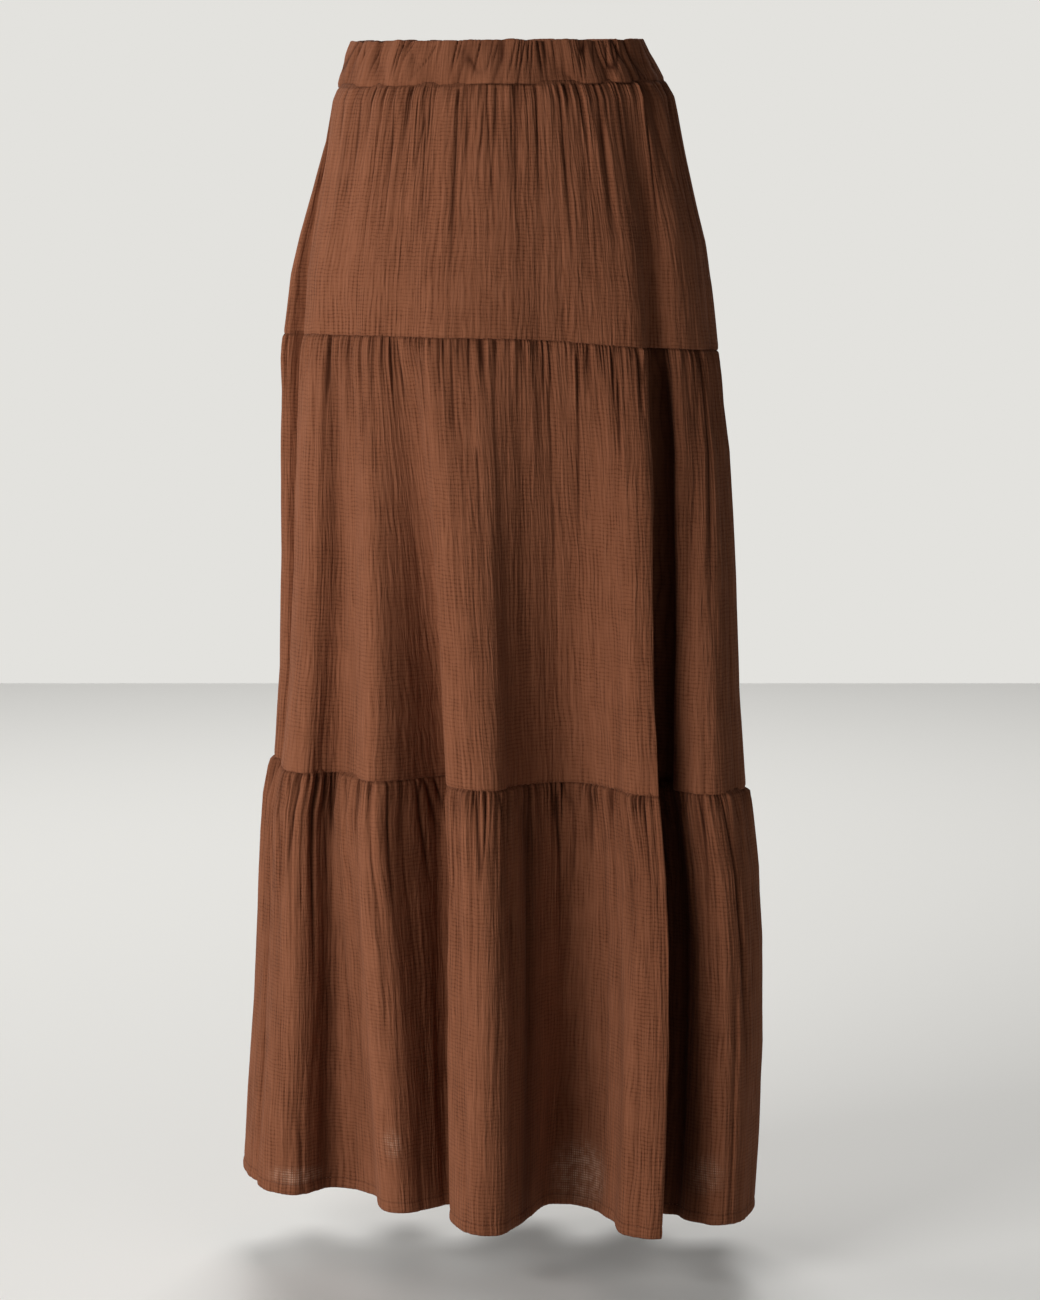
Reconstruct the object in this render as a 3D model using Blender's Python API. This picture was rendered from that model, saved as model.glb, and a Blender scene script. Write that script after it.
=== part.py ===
"""A long, gathered, A-line skirt of brown double gauze, on the figure that fills it out.

An elastic waistband and three tiers, each gathered onto the one above, are cut as a back and a
front, so the skirt has eight pieces of cloth. Every piece is a closed wall around one common
form: closed rings, stacked from the waist to the hem, that run through the crests and the
valleys of the large folds.

Metres, +Z up. The origin is the centre of the waist's top edge, +Y is the way the wearer faces,
and +X is the wearer's right. The skirt is seen from behind in the reference, so the folds of
its back follow it, and those of its front are of the same kind.
"""

from typing import NamedTuple

import bmesh
import bpy
import numpy as np

# Levels down the skirt, measured from the waist's top edge.
WAIST_TOP = 0.0
BAND_SEAM = -0.037
HIP_SEAM = -0.258
KNEE_SEAM = -0.631
HEM = -1.004

SEAM_GAP = 0.0003
TIER_WALL = 0.002
BAND_WALL = 0.003

# The oval of the waist and of the seam under the band, from its centre to the back and front.
WAIST_BACK, WAIST_FRONT = 0.095, 0.085
BAND_BACK, BAND_FRONT = 0.108, 0.094
HIP_BACK, HIP_FRONT = 0.121, 0.107

# How far a fold rounds out between its crest and its valley: 1 is as a straight stretch does.
FOLD_ROUNDNESS = 1.1

CLOTH_COLOUR = (0.195, 0.075, 0.038, 1.0)
CLOTH_ROUGHNESS = 0.95

# Faces that meet at more than this are shaded as an edge: the rims, not the folds.
EDGE_ANGLE = np.radians(50.0)


class Section(NamedTuple):
    """How wide the skirt is at one level, and how far its rings swell between two seams."""

    level: float
    left: float
    right: float
    swell: float


SECTIONS = (
    #       level    left    right   swell
    Section(-0.000, 0.1225, 0.1275, 1.000),
    Section(-0.012, 0.1270, 0.1315, 1.000),
    Section(-0.037, 0.1345, 0.1440, 1.000),
    Section(-0.050, 0.1395, 0.1505, 1.020),
    Section(-0.102, 0.1510, 0.1630, 1.045),
    Section(-0.170, 0.1675, 0.1800, 1.060),
    Section(-0.205, 0.1750, 0.1850, 1.045),
    Section(-0.258, 0.1815, 0.1905, 1.000),
    Section(-0.280, 0.1835, 0.1940, 1.015),
    Section(-0.345, 0.1845, 0.2015, 1.020),
    Section(-0.450, 0.1840, 0.2050, 1.010),
    Section(-0.550, 0.1875, 0.2065, 1.005),
    Section(-0.631, 0.1940, 0.2105, 1.000),
    Section(-0.665, 0.2015, 0.2160, 1.020),
    Section(-0.700, 0.2045, 0.2215, 1.025),
    Section(-0.760, 0.2065, 0.2260, 1.020),
    Section(-0.850, 0.2100, 0.2275, 1.010),
    Section(-0.930, 0.2150, 0.2255, 1.005),
    Section(-1.004, 0.2190, 0.2215, 1.000),
)


class Lean(NamedTuple):
    """How far a ring drops at the right side, and rises at the middle of the back."""

    level: float
    right_drop: float
    back_rise: float


LEANS = (
    #     level    drop     rise
    Lean(-0.000, -0.0010, 0.0000),
    Lean(-0.037, -0.0025, 0.0000),
    Lean(-0.258, 0.0070, 0.0105),
    Lean(-0.631, 0.0060, 0.0030),
    Lean(-1.004, 0.0040, 0.0000),
)


class FoldLine(NamedTuple):
    """A crest or valley that runs down the skirt.

    Across is a share of the half width, and y is in metres, at the hip seam, the knee seam
    and the hem. The lines follow each other round the skirt, over the back and then the front.
    """

    name: str
    hip_across: float
    hip_y: float
    knee_across: float
    knee_y: float
    hem_across: float
    hem_y: float


FOLD_LINES = (
    #        name                 hip across, y   knee across, y  hem across, y
    FoldLine("left side",         -1.000,  0.016, -1.000,  0.034, -1.000,  0.020),
    FoldLine("left tuck",         -0.905,  0.010, -0.945,  0.020, -0.960,  0.002),
    FoldLine("left edge",         -0.905, -0.026, -0.965, -0.022, -0.955, -0.012),
    FoldLine("left lobe",         -0.830, -0.054, -0.850, -0.060, -0.830, -0.040),
    FoldLine("left valley",       -0.720, -0.070, -0.690, -0.050, -0.620, -0.014),
    FoldLine("ridge edge",        -0.665, -0.078, -0.635, -0.070, -0.500, -0.034),
    FoldLine("ridge crest",       -0.600, -0.090, -0.570, -0.100, -0.395, -0.098),
    FoldLine("lap tuck",          -0.420, -0.104, -0.150, -0.062, -0.130, -0.068),
    FoldLine("lap edge",          -0.325, -0.115, -0.195, -0.124, -0.175, -0.126),
    FoldLine("lap crest",         -0.140, -0.121, -0.025, -0.138, -0.020, -0.173),
    FoldLine("lap flank",          0.050, -0.119,  0.080, -0.105,  0.090, -0.136),
    FoldLine("middle valley",      0.270, -0.109,  0.340, -0.072,  0.285, -0.056),
    FoldLine("roll flank",         0.430, -0.105,  0.470, -0.098,  0.442, -0.106),
    FoldLine("roll crest",         0.550, -0.101,  0.550, -0.128,  0.505, -0.162),
    FoldLine("roll edge",          0.645, -0.093,  0.645, -0.138,  0.622, -0.174),
    FoldLine("deep valley",        0.700, -0.066,  0.630, -0.062,  0.590, -0.080),
    FoldLine("deep flank",         0.800, -0.067,  0.735, -0.100,  0.700, -0.102),
    FoldLine("right crest",        0.890, -0.054,  0.865, -0.113,  0.870, -0.122),
    FoldLine("right turn",         0.965, -0.030,  0.985, -0.088,  0.990, -0.084),
    FoldLine("right side",         1.000,  0.000,  1.000, -0.032,  0.995, -0.030),
    FoldLine("right front valley", 0.965,  0.026,  0.940,  0.018,  0.900,  0.020),
    FoldLine("right front crest",  0.870,  0.056,  0.920,  0.074,  0.930,  0.088),
    FoldLine("right thigh valley", 0.700,  0.078,  0.700,  0.082,  0.700,  0.088),
    FoldLine("right thigh crest",  0.520,  0.092,  0.560,  0.112,  0.560,  0.140),
    FoldLine("right inner valley", 0.340,  0.098,  0.360,  0.102,  0.340,  0.100),
    FoldLine("centre crest",       0.140,  0.107,  0.150,  0.130,  0.160,  0.166),
    FoldLine("centre flank",       0.000,  0.106, -0.020,  0.120, -0.020,  0.140),
    FoldLine("centre valley",     -0.140,  0.104, -0.160,  0.104, -0.170,  0.098),
    FoldLine("left thigh crest",  -0.340,  0.101, -0.360,  0.124, -0.360,  0.158),
    FoldLine("left thigh valley", -0.520,  0.088, -0.550,  0.092, -0.560,  0.098),
    FoldLine("left front crest",  -0.700,  0.077, -0.740,  0.104, -0.760,  0.142),
    FoldLine("left front valley", -0.860,  0.058, -0.870,  0.072, -0.880,  0.100),
    FoldLine("left front edge",   -0.950,  0.044, -0.955,  0.070, -0.965,  0.092),
)

RIGHT_SIDE = next(i for i, line in enumerate(FOLD_LINES) if line.name == "right side")


class Piece(NamedTuple):
    """A ring of the skirt between two seams, cut as a back and a front."""

    name: str
    top: float
    bottom: float
    wall: float
    columns_a_fold: int
    rows: int


PIECES = (
    Piece("waistband", WAIST_TOP, BAND_SEAM, BAND_WALL, 2, 3),
    Piece("tier1", BAND_SEAM, HIP_SEAM, TIER_WALL, 2, 6),
    Piece("tier2", HIP_SEAM, KNEE_SEAM, TIER_WALL, 3, 6),
    Piece("tier3", KNEE_SEAM, HEM, TIER_WALL, 4, 6),
)


def half_widths(level):
    """The left and right half widths of the skirt at a level."""
    levels = [-section.level for section in SECTIONS]
    left = np.interp(-level, levels, [section.left for section in SECTIONS])
    right = np.interp(-level, levels, [section.right for section in SECTIONS])
    return left, right


def swell(level):
    """How much fuller the ring is from front to back than its two seams make it."""
    levels = [-section.level for section in SECTIONS]
    return np.interp(-level, levels, [section.swell for section in SECTIONS])


def line_points(across, depth, level):
    """Plan points of the fold lines from their shares of the half width and their depths."""
    left, right = half_widths(level)
    across = np.asarray(across)
    x = across * np.where(across < 0, left, right)
    return np.column_stack([x, np.asarray(depth) * swell(level)])


def seam_points(seam, level):
    """Plan points of the fold lines at the hip seam, the knee seam or the hem."""
    across = [getattr(line, f"{seam}_across") for line in FOLD_LINES]
    depth = [getattr(line, f"{seam}_y") for line in FOLD_LINES]
    return line_points(across, depth, level)


def cloth_shares():
    """Each fold line's place in the cloth, from 0 at the left side round to 1.

    The cloth between two lines is their mean share of the ring at the two seams and the hem.
    """
    steps = np.zeros(len(FOLD_LINES))
    for seam, level in (("hip", HIP_SEAM), ("knee", KNEE_SEAM), ("hem", HEM)):
        points = seam_points(seam, level)
        chords = np.linalg.norm(np.roll(points, -1, axis=0) - points, axis=1)
        steps += chords / chords.sum()
    return np.concatenate([[0.0], np.cumsum(steps)[:-1]]) / steps.sum()


SHARES = cloth_shares()


def plain_oval(level, back, front):
    """Plan points of the fold lines on a plain oval, each in its direction at the hip seam."""
    across = np.array([line.hip_across for line in FOLD_LINES])
    depth = np.array([line.hip_y for line in FOLD_LINES])
    turn = np.arctan2(across, -depth / np.where(depth < 0, HIP_BACK, HIP_FRONT))
    left, right = half_widths(level)
    x = np.sin(turn) * np.where(np.sin(turn) < 0, left, right)
    y = -np.cos(turn) * np.where(np.cos(turn) > 0, back, front)
    return np.column_stack([x, y])


def between(first, second, top, bottom, level):
    """The mix of a top value and a bottom value that belongs to a level between them."""
    share = (top - level) / (top - bottom)
    return (1.0 - share) * np.asarray(first) + share * np.asarray(second)


def band_points(level):
    """The plain oval of the waistband, which widens from the waist to its seam."""
    back = between(WAIST_BACK, BAND_BACK, WAIST_TOP, BAND_SEAM, level)
    front = between(WAIST_FRONT, BAND_FRONT, WAIST_TOP, BAND_SEAM, level)
    return plain_oval(level, back, front)


def hip_tier_points(level):
    """From the plain oval under the band to the hip seam's shallow folds."""
    oval = plain_oval(level, BAND_BACK * swell(level), BAND_FRONT * swell(level))
    return between(oval, seam_points("hip", level), BAND_SEAM, HIP_SEAM, level)


def lower_tier_points(level):
    """Between the hip seam, the knee seam and the hem, where the folds deepen."""
    if level > KNEE_SEAM:
        top, bottom = HIP_SEAM, KNEE_SEAM
        above, below = seam_points("hip", level), seam_points("knee", level)
    else:
        top, bottom = KNEE_SEAM, HEM
        above, below = seam_points("knee", level), seam_points("hem", level)
    return between(above, below, top, bottom, level)


def ring_points(level):
    """Where each fold line passes through a level."""
    if level > BAND_SEAM:
        return band_points(level)
    if level > HIP_SEAM:
        return hip_tier_points(level)
    return lower_tier_points(level)


def closed_curve(points, shares):
    """Points and directions of the smooth closed curve through the fold lines' points."""
    chords = np.roll(points, -1, axis=0) - points
    lengths = np.linalg.norm(chords, axis=1)[:, None]
    slopes = chords / lengths
    slopes_before, lengths_before = np.roll(slopes, 1, axis=0), np.roll(lengths, 1, axis=0)
    ways = slopes * lengths_before + slopes_before * lengths
    ways = FOLD_ROUNDNESS * ways / np.linalg.norm(ways, axis=1)[:, None]
    shares = np.asarray(shares) % 1.0
    at = np.searchsorted(SHARES, shares, side="right") - 1
    after = (at + 1) % len(SHARES)
    t = ((shares - SHARES[at]) / np.diff(np.append(SHARES, 1.0))[at])[:, None]
    start, end = points[at], points[after]
    leave, arrive = ways[at] * lengths[at], ways[after] * lengths[at]
    place = (
        (2 * t**3 - 3 * t**2 + 1) * start
        + (t**3 - 2 * t**2 + t) * leave
        + (3 * t**2 - 2 * t**3) * end
        + (t**3 - t**2) * arrive
    )
    way = (
        (6 * t**2 - 6 * t) * start
        + (3 * t**2 - 4 * t + 1) * leave
        + (6 * t - 6 * t**2) * end
        + (3 * t**2 - 2 * t) * arrive
    )
    return place, way / np.linalg.norm(way, axis=1)[:, None]


def ring(level, shares, inwards):
    """Points of the skirt's form at a level, moved inwards, with the ring's lean."""
    place, way = closed_curve(ring_points(level), shares)
    outwards = np.column_stack([way[:, 1], -way[:, 0]])
    place = place - inwards * outwards
    x, y = place.T
    left, right = half_widths(level)
    levels = [-lean.level for lean in LEANS]
    drop = np.interp(-level, levels, [lean.right_drop for lean in LEANS])
    rise = np.interp(-level, levels, [lean.back_rise for lean in LEANS])
    z = level - drop * x / np.where(x < 0, left, right) - rise * y / np.hypot(x, y)
    return np.column_stack([place, z])


def piece_shares(first, last, columns_a_fold):
    """Shares of the cloth from one fold line to a later one, each fold split evenly."""
    lines = np.append(SHARES, 1.0)
    folds = np.arange(first, last, 1.0 / columns_a_fold)
    return np.interp(np.append(folds, last), np.arange(len(lines)), lines)


def trimmed(points):
    """The row of points with its two ends drawn in by half a seam's gap."""
    for end, inner in ((0, 1), (-1, -2)):
        way = points[inner] - points[end]
        points[end] += way / np.linalg.norm(way) * (SEAM_GAP / 2)
    return points


def wall_mesh(name, outside, inside):
    """A closed wall between two grids of points, given as rows from top to bottom."""
    rows, columns = outside.shape[:2]
    mesh = bpy.data.meshes.new(name)
    bm = bmesh.new()
    out = [[bm.verts.new(point) for point in row] for row in outside]
    inn = [[bm.verts.new(point) for point in row] for row in inside]
    for r in range(rows - 1):
        for c in range(columns - 1):
            bm.faces.new((out[r][c], out[r + 1][c], out[r + 1][c + 1], out[r][c + 1]))
            bm.faces.new((inn[r][c], inn[r][c + 1], inn[r + 1][c + 1], inn[r + 1][c]))
    for c in range(columns - 1):
        bm.faces.new((out[0][c], out[0][c + 1], inn[0][c + 1], inn[0][c]))
        bm.faces.new((out[-1][c], inn[-1][c], inn[-1][c + 1], out[-1][c + 1]))
    for r in range(rows - 1):
        bm.faces.new((out[r][0], inn[r][0], inn[r + 1][0], out[r + 1][0]))
        bm.faces.new((out[r][-1], out[r + 1][-1], inn[r + 1][-1], inn[r][-1]))
    bmesh.ops.recalc_face_normals(bm, faces=bm.faces)
    bmesh.ops.triangulate(bm, faces=bm.faces)
    bm.to_mesh(mesh)
    bm.free()
    return mesh


def cloth_material(name):
    """A plain stand-in for the cloth's colour."""
    material = bpy.data.materials.new(name)
    material.use_nodes = True
    shader = material.node_tree.nodes["Principled BSDF"]
    shader.inputs["Base Color"].default_value = CLOTH_COLOUR
    shader.inputs["Roughness"].default_value = CLOTH_ROUGHNESS
    return material


def make_piece(piece, half, first, last, parent):
    """One cut piece, from the fold line at its first edge to the one at its last."""
    name = f"{piece.name}_{half}"
    top = piece.top - (SEAM_GAP / 2 if piece.top < WAIST_TOP else 0.0)
    bottom = piece.bottom + (SEAM_GAP / 2 if piece.bottom > HEM else 0.0)
    levels = np.linspace(top, bottom, piece.rows + 1)
    shares = piece_shares(first, last, piece.columns_a_fold)
    outside = np.array([trimmed(ring(level, shares, 0.0)) for level in levels])
    inside = np.array([trimmed(ring(level, shares, piece.wall)) for level in levels])
    mesh = wall_mesh(name, outside, inside)
    mesh.materials.append(cloth_material(f"double gauze {name}"))
    mesh.shade_smooth()
    mesh.set_sharp_from_angle(angle=EDGE_ANGLE)
    obj = bpy.data.objects.new(name, mesh)
    obj.parent = parent
    bpy.context.collection.objects.link(obj)


def main():
    """Clears the scene and makes the eight pieces under one parent."""
    for obj in list(bpy.data.objects):
        bpy.data.objects.remove(obj)
    skirt = bpy.data.objects.new("skirt", None)
    bpy.context.collection.objects.link(skirt)
    for piece in PIECES:
        make_piece(piece, "back", 0, RIGHT_SIDE, skirt)
        make_piece(piece, "front", RIGHT_SIDE, len(FOLD_LINES), skirt)


main()
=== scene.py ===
"""The looks of a long tiered skirt of brown double gauze, as if it were being worn.

Every cut piece is a thin shell of cloth on the form of its CAD solid: closed rings, stacked from
the waist to the hem, that run through the crests and valleys of the large folds. The gathers
below each seam, the creases and the crinkles of the gauze are raised from that form, and what is
finer still, the pucker and the weave, is in the finish.

Metres, +Z up. The origin is the centre of the waist's top edge, and the back faces -Y. A place
round the skirt is a share of its cloth, from 0 at the left side over the back and the front to
1, and a place down a piece is the distance below its top edge.
"""

from __future__ import annotations

import logging
import math
from dataclasses import dataclass, field
from enum import Enum
from typing import NamedTuple

import bpy
import numpy as np
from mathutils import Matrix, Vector

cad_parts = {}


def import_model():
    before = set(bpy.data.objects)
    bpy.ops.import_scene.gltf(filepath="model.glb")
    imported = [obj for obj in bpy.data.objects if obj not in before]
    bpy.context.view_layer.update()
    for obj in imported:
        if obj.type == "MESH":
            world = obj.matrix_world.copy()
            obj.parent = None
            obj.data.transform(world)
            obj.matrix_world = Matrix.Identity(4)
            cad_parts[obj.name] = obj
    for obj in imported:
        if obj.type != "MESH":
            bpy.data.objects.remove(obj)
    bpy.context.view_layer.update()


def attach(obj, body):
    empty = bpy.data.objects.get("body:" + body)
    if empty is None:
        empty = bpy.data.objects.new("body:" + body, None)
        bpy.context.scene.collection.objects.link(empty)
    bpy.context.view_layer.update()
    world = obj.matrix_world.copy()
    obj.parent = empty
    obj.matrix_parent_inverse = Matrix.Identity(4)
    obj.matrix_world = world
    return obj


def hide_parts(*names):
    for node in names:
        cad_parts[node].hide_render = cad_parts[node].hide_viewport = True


log = logging.getLogger("skirt")

MM = 0.001

Colour = tuple[float, float, float, float]
Socket = bpy.types.NodeSocket
Value = float | Colour | Socket

# Levels down the skirt, measured from the waist's top edge, as the CAD solids have them.
WAIST_TOP = 0.0
BAND_SEAM = -0.037
HIP_SEAM = -0.258
KNEE_SEAM = -0.631
HEM = -1.004

# The oval of the waist and of the seam under the band, from its centre to the back and front.
WAIST_BACK, WAIST_FRONT = 0.095, 0.085
BAND_BACK, BAND_FRONT = 0.108, 0.094
HIP_BACK, HIP_FRONT = 0.121, 0.107

SEAM_GAP = 0.3 * MM


class Half(Enum):
    """The half of a ring of cloth that a cut piece makes."""

    BACK = "back"
    FRONT = "front"


class Section(NamedTuple):
    """How wide the skirt is at one level, and how far its rings swell between two seams."""

    level: float
    left: float
    right: float
    swell: float


SECTIONS = (
    #       level    left    right   swell
    Section(-0.000, 0.1225, 0.1275, 1.000),
    Section(-0.012, 0.1270, 0.1315, 1.000),
    Section(-0.037, 0.1345, 0.1440, 1.000),
    Section(-0.050, 0.1395, 0.1505, 1.020),
    Section(-0.102, 0.1510, 0.1630, 1.045),
    Section(-0.170, 0.1675, 0.1800, 1.060),
    Section(-0.205, 0.1750, 0.1850, 1.045),
    Section(-0.258, 0.1815, 0.1905, 1.000),
    Section(-0.280, 0.1835, 0.1940, 1.015),
    Section(-0.345, 0.1845, 0.2015, 1.020),
    Section(-0.450, 0.1840, 0.2050, 1.010),
    Section(-0.550, 0.1875, 0.2065, 1.005),
    Section(-0.631, 0.1940, 0.2105, 1.000),
    Section(-0.665, 0.2015, 0.2160, 1.020),
    Section(-0.700, 0.2045, 0.2215, 1.025),
    Section(-0.760, 0.2065, 0.2260, 1.020),
    Section(-0.850, 0.2100, 0.2275, 1.010),
    Section(-0.930, 0.2150, 0.2255, 1.005),
    Section(-1.004, 0.2190, 0.2215, 1.000),
)


class Lean(NamedTuple):
    """How far a ring drops at the right side, and rises at the middle of the back."""

    level: float
    right_drop: float
    back_rise: float


LEANS = (
    #     level    drop     rise
    Lean(-0.000, -0.0010, 0.0000),
    Lean(-0.037, -0.0025, 0.0000),
    Lean(-0.258, 0.0070, 0.0105),
    Lean(-0.631, 0.0060, 0.0030),
    Lean(-1.004, 0.0040, 0.0000),
)


class FoldLine(NamedTuple):
    """A crest or valley that runs down the skirt.

    Across is a share of the half width, and y is in metres, at the hip seam, the knee seam
    and the hem. The lines follow each other round the skirt, over the back and then the front.
    """

    name: str
    hip_across: float
    hip_y: float
    knee_across: float
    knee_y: float
    hem_across: float
    hem_y: float


FOLD_LINES = (
    #        name                 hip across, y   knee across, y  hem across, y
    FoldLine("left side",         -1.000,  0.016, -1.000,  0.034, -1.000,  0.020),
    FoldLine("left tuck",         -0.905,  0.010, -0.945,  0.020, -0.960,  0.002),
    FoldLine("left edge",         -0.905, -0.026, -0.965, -0.022, -0.955, -0.012),
    FoldLine("left lobe",         -0.830, -0.054, -0.850, -0.060, -0.830, -0.040),
    FoldLine("left valley",       -0.720, -0.070, -0.690, -0.050, -0.620, -0.014),
    FoldLine("ridge edge",        -0.665, -0.078, -0.635, -0.070, -0.500, -0.034),
    FoldLine("ridge crest",       -0.600, -0.090, -0.570, -0.100, -0.395, -0.098),
    FoldLine("lap tuck",          -0.420, -0.104, -0.150, -0.062, -0.130, -0.068),
    FoldLine("lap edge",          -0.325, -0.115, -0.195, -0.124, -0.175, -0.126),
    FoldLine("lap crest",         -0.140, -0.121, -0.025, -0.138, -0.020, -0.173),
    FoldLine("lap flank",          0.050, -0.119,  0.080, -0.105,  0.090, -0.136),
    FoldLine("middle valley",      0.270, -0.109,  0.340, -0.072,  0.285, -0.056),
    FoldLine("roll flank",         0.430, -0.105,  0.470, -0.098,  0.442, -0.106),
    FoldLine("roll crest",         0.550, -0.101,  0.550, -0.128,  0.505, -0.162),
    FoldLine("roll edge",          0.645, -0.093,  0.645, -0.138,  0.622, -0.174),
    FoldLine("deep valley",        0.700, -0.066,  0.630, -0.062,  0.590, -0.080),
    FoldLine("deep flank",         0.800, -0.067,  0.735, -0.100,  0.700, -0.102),
    FoldLine("right crest",        0.890, -0.054,  0.865, -0.113,  0.870, -0.122),
    FoldLine("right turn",         0.965, -0.030,  0.985, -0.088,  0.990, -0.084),
    FoldLine("right side",         1.000,  0.000,  1.000, -0.032,  0.995, -0.030),
    FoldLine("right front valley", 0.965,  0.026,  0.940,  0.018,  0.900,  0.020),
    FoldLine("right front crest",  0.870,  0.056,  0.920,  0.074,  0.930,  0.088),
    FoldLine("right thigh valley", 0.700,  0.078,  0.700,  0.082,  0.700,  0.088),
    FoldLine("right thigh crest",  0.520,  0.092,  0.560,  0.112,  0.560,  0.140),
    FoldLine("right inner valley", 0.340,  0.098,  0.360,  0.102,  0.340,  0.100),
    FoldLine("centre crest",       0.140,  0.107,  0.150,  0.130,  0.160,  0.166),
    FoldLine("centre flank",       0.000,  0.106, -0.020,  0.120, -0.020,  0.140),
    FoldLine("centre valley",     -0.140,  0.104, -0.160,  0.104, -0.170,  0.098),
    FoldLine("left thigh crest",  -0.340,  0.101, -0.360,  0.124, -0.360,  0.158),
    FoldLine("left thigh valley", -0.520,  0.088, -0.550,  0.092, -0.560,  0.098),
    FoldLine("left front crest",  -0.700,  0.077, -0.740,  0.104, -0.760,  0.142),
    FoldLine("left front valley", -0.860,  0.058, -0.870,  0.072, -0.880,  0.100),
    FoldLine("left front edge",   -0.950,  0.044, -0.955,  0.070, -0.965,  0.092),
)

RIGHT_SIDE = next(i for i, line in enumerate(FOLD_LINES) if line.name == "right side")


class Lay(NamedTuple):
    """Where a grid of cloth lies on the form, in rows down and columns round the skirt.

    place is in metres, outward and along are unit directions in plan, stretch is the ring's
    metres for the whole of its cloth, and bend is the ring's curvature, in valleys negative.
    """

    place: np.ndarray
    outward: np.ndarray
    along: np.ndarray
    stretch: np.ndarray
    bend: np.ndarray


def at_level(table: tuple[Section, ...] | tuple[Lean, ...], column: str, level: float) -> float:
    """One column of a table at a level between its rows."""
    levels = [-row.level for row in table]
    return float(np.interp(-level, levels, [getattr(row, column) for row in table]))


def between(
    first: float | np.ndarray, second: float | np.ndarray, top: float, bottom: float, level: float
) -> np.ndarray:
    """The mix of a top value and a bottom value that belongs to a level between them."""
    share = (top - level) / (top - bottom)
    return (1.0 - share) * np.asarray(first) + share * np.asarray(second)


def smooth(value: np.ndarray, low: float, high: float) -> np.ndarray:
    """A soft step from 0 at low to 1 at high."""
    t = np.clip((value - low) / (high - low), 0.0, 1.0)
    return t * t * (3.0 - 2.0 * t)


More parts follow.
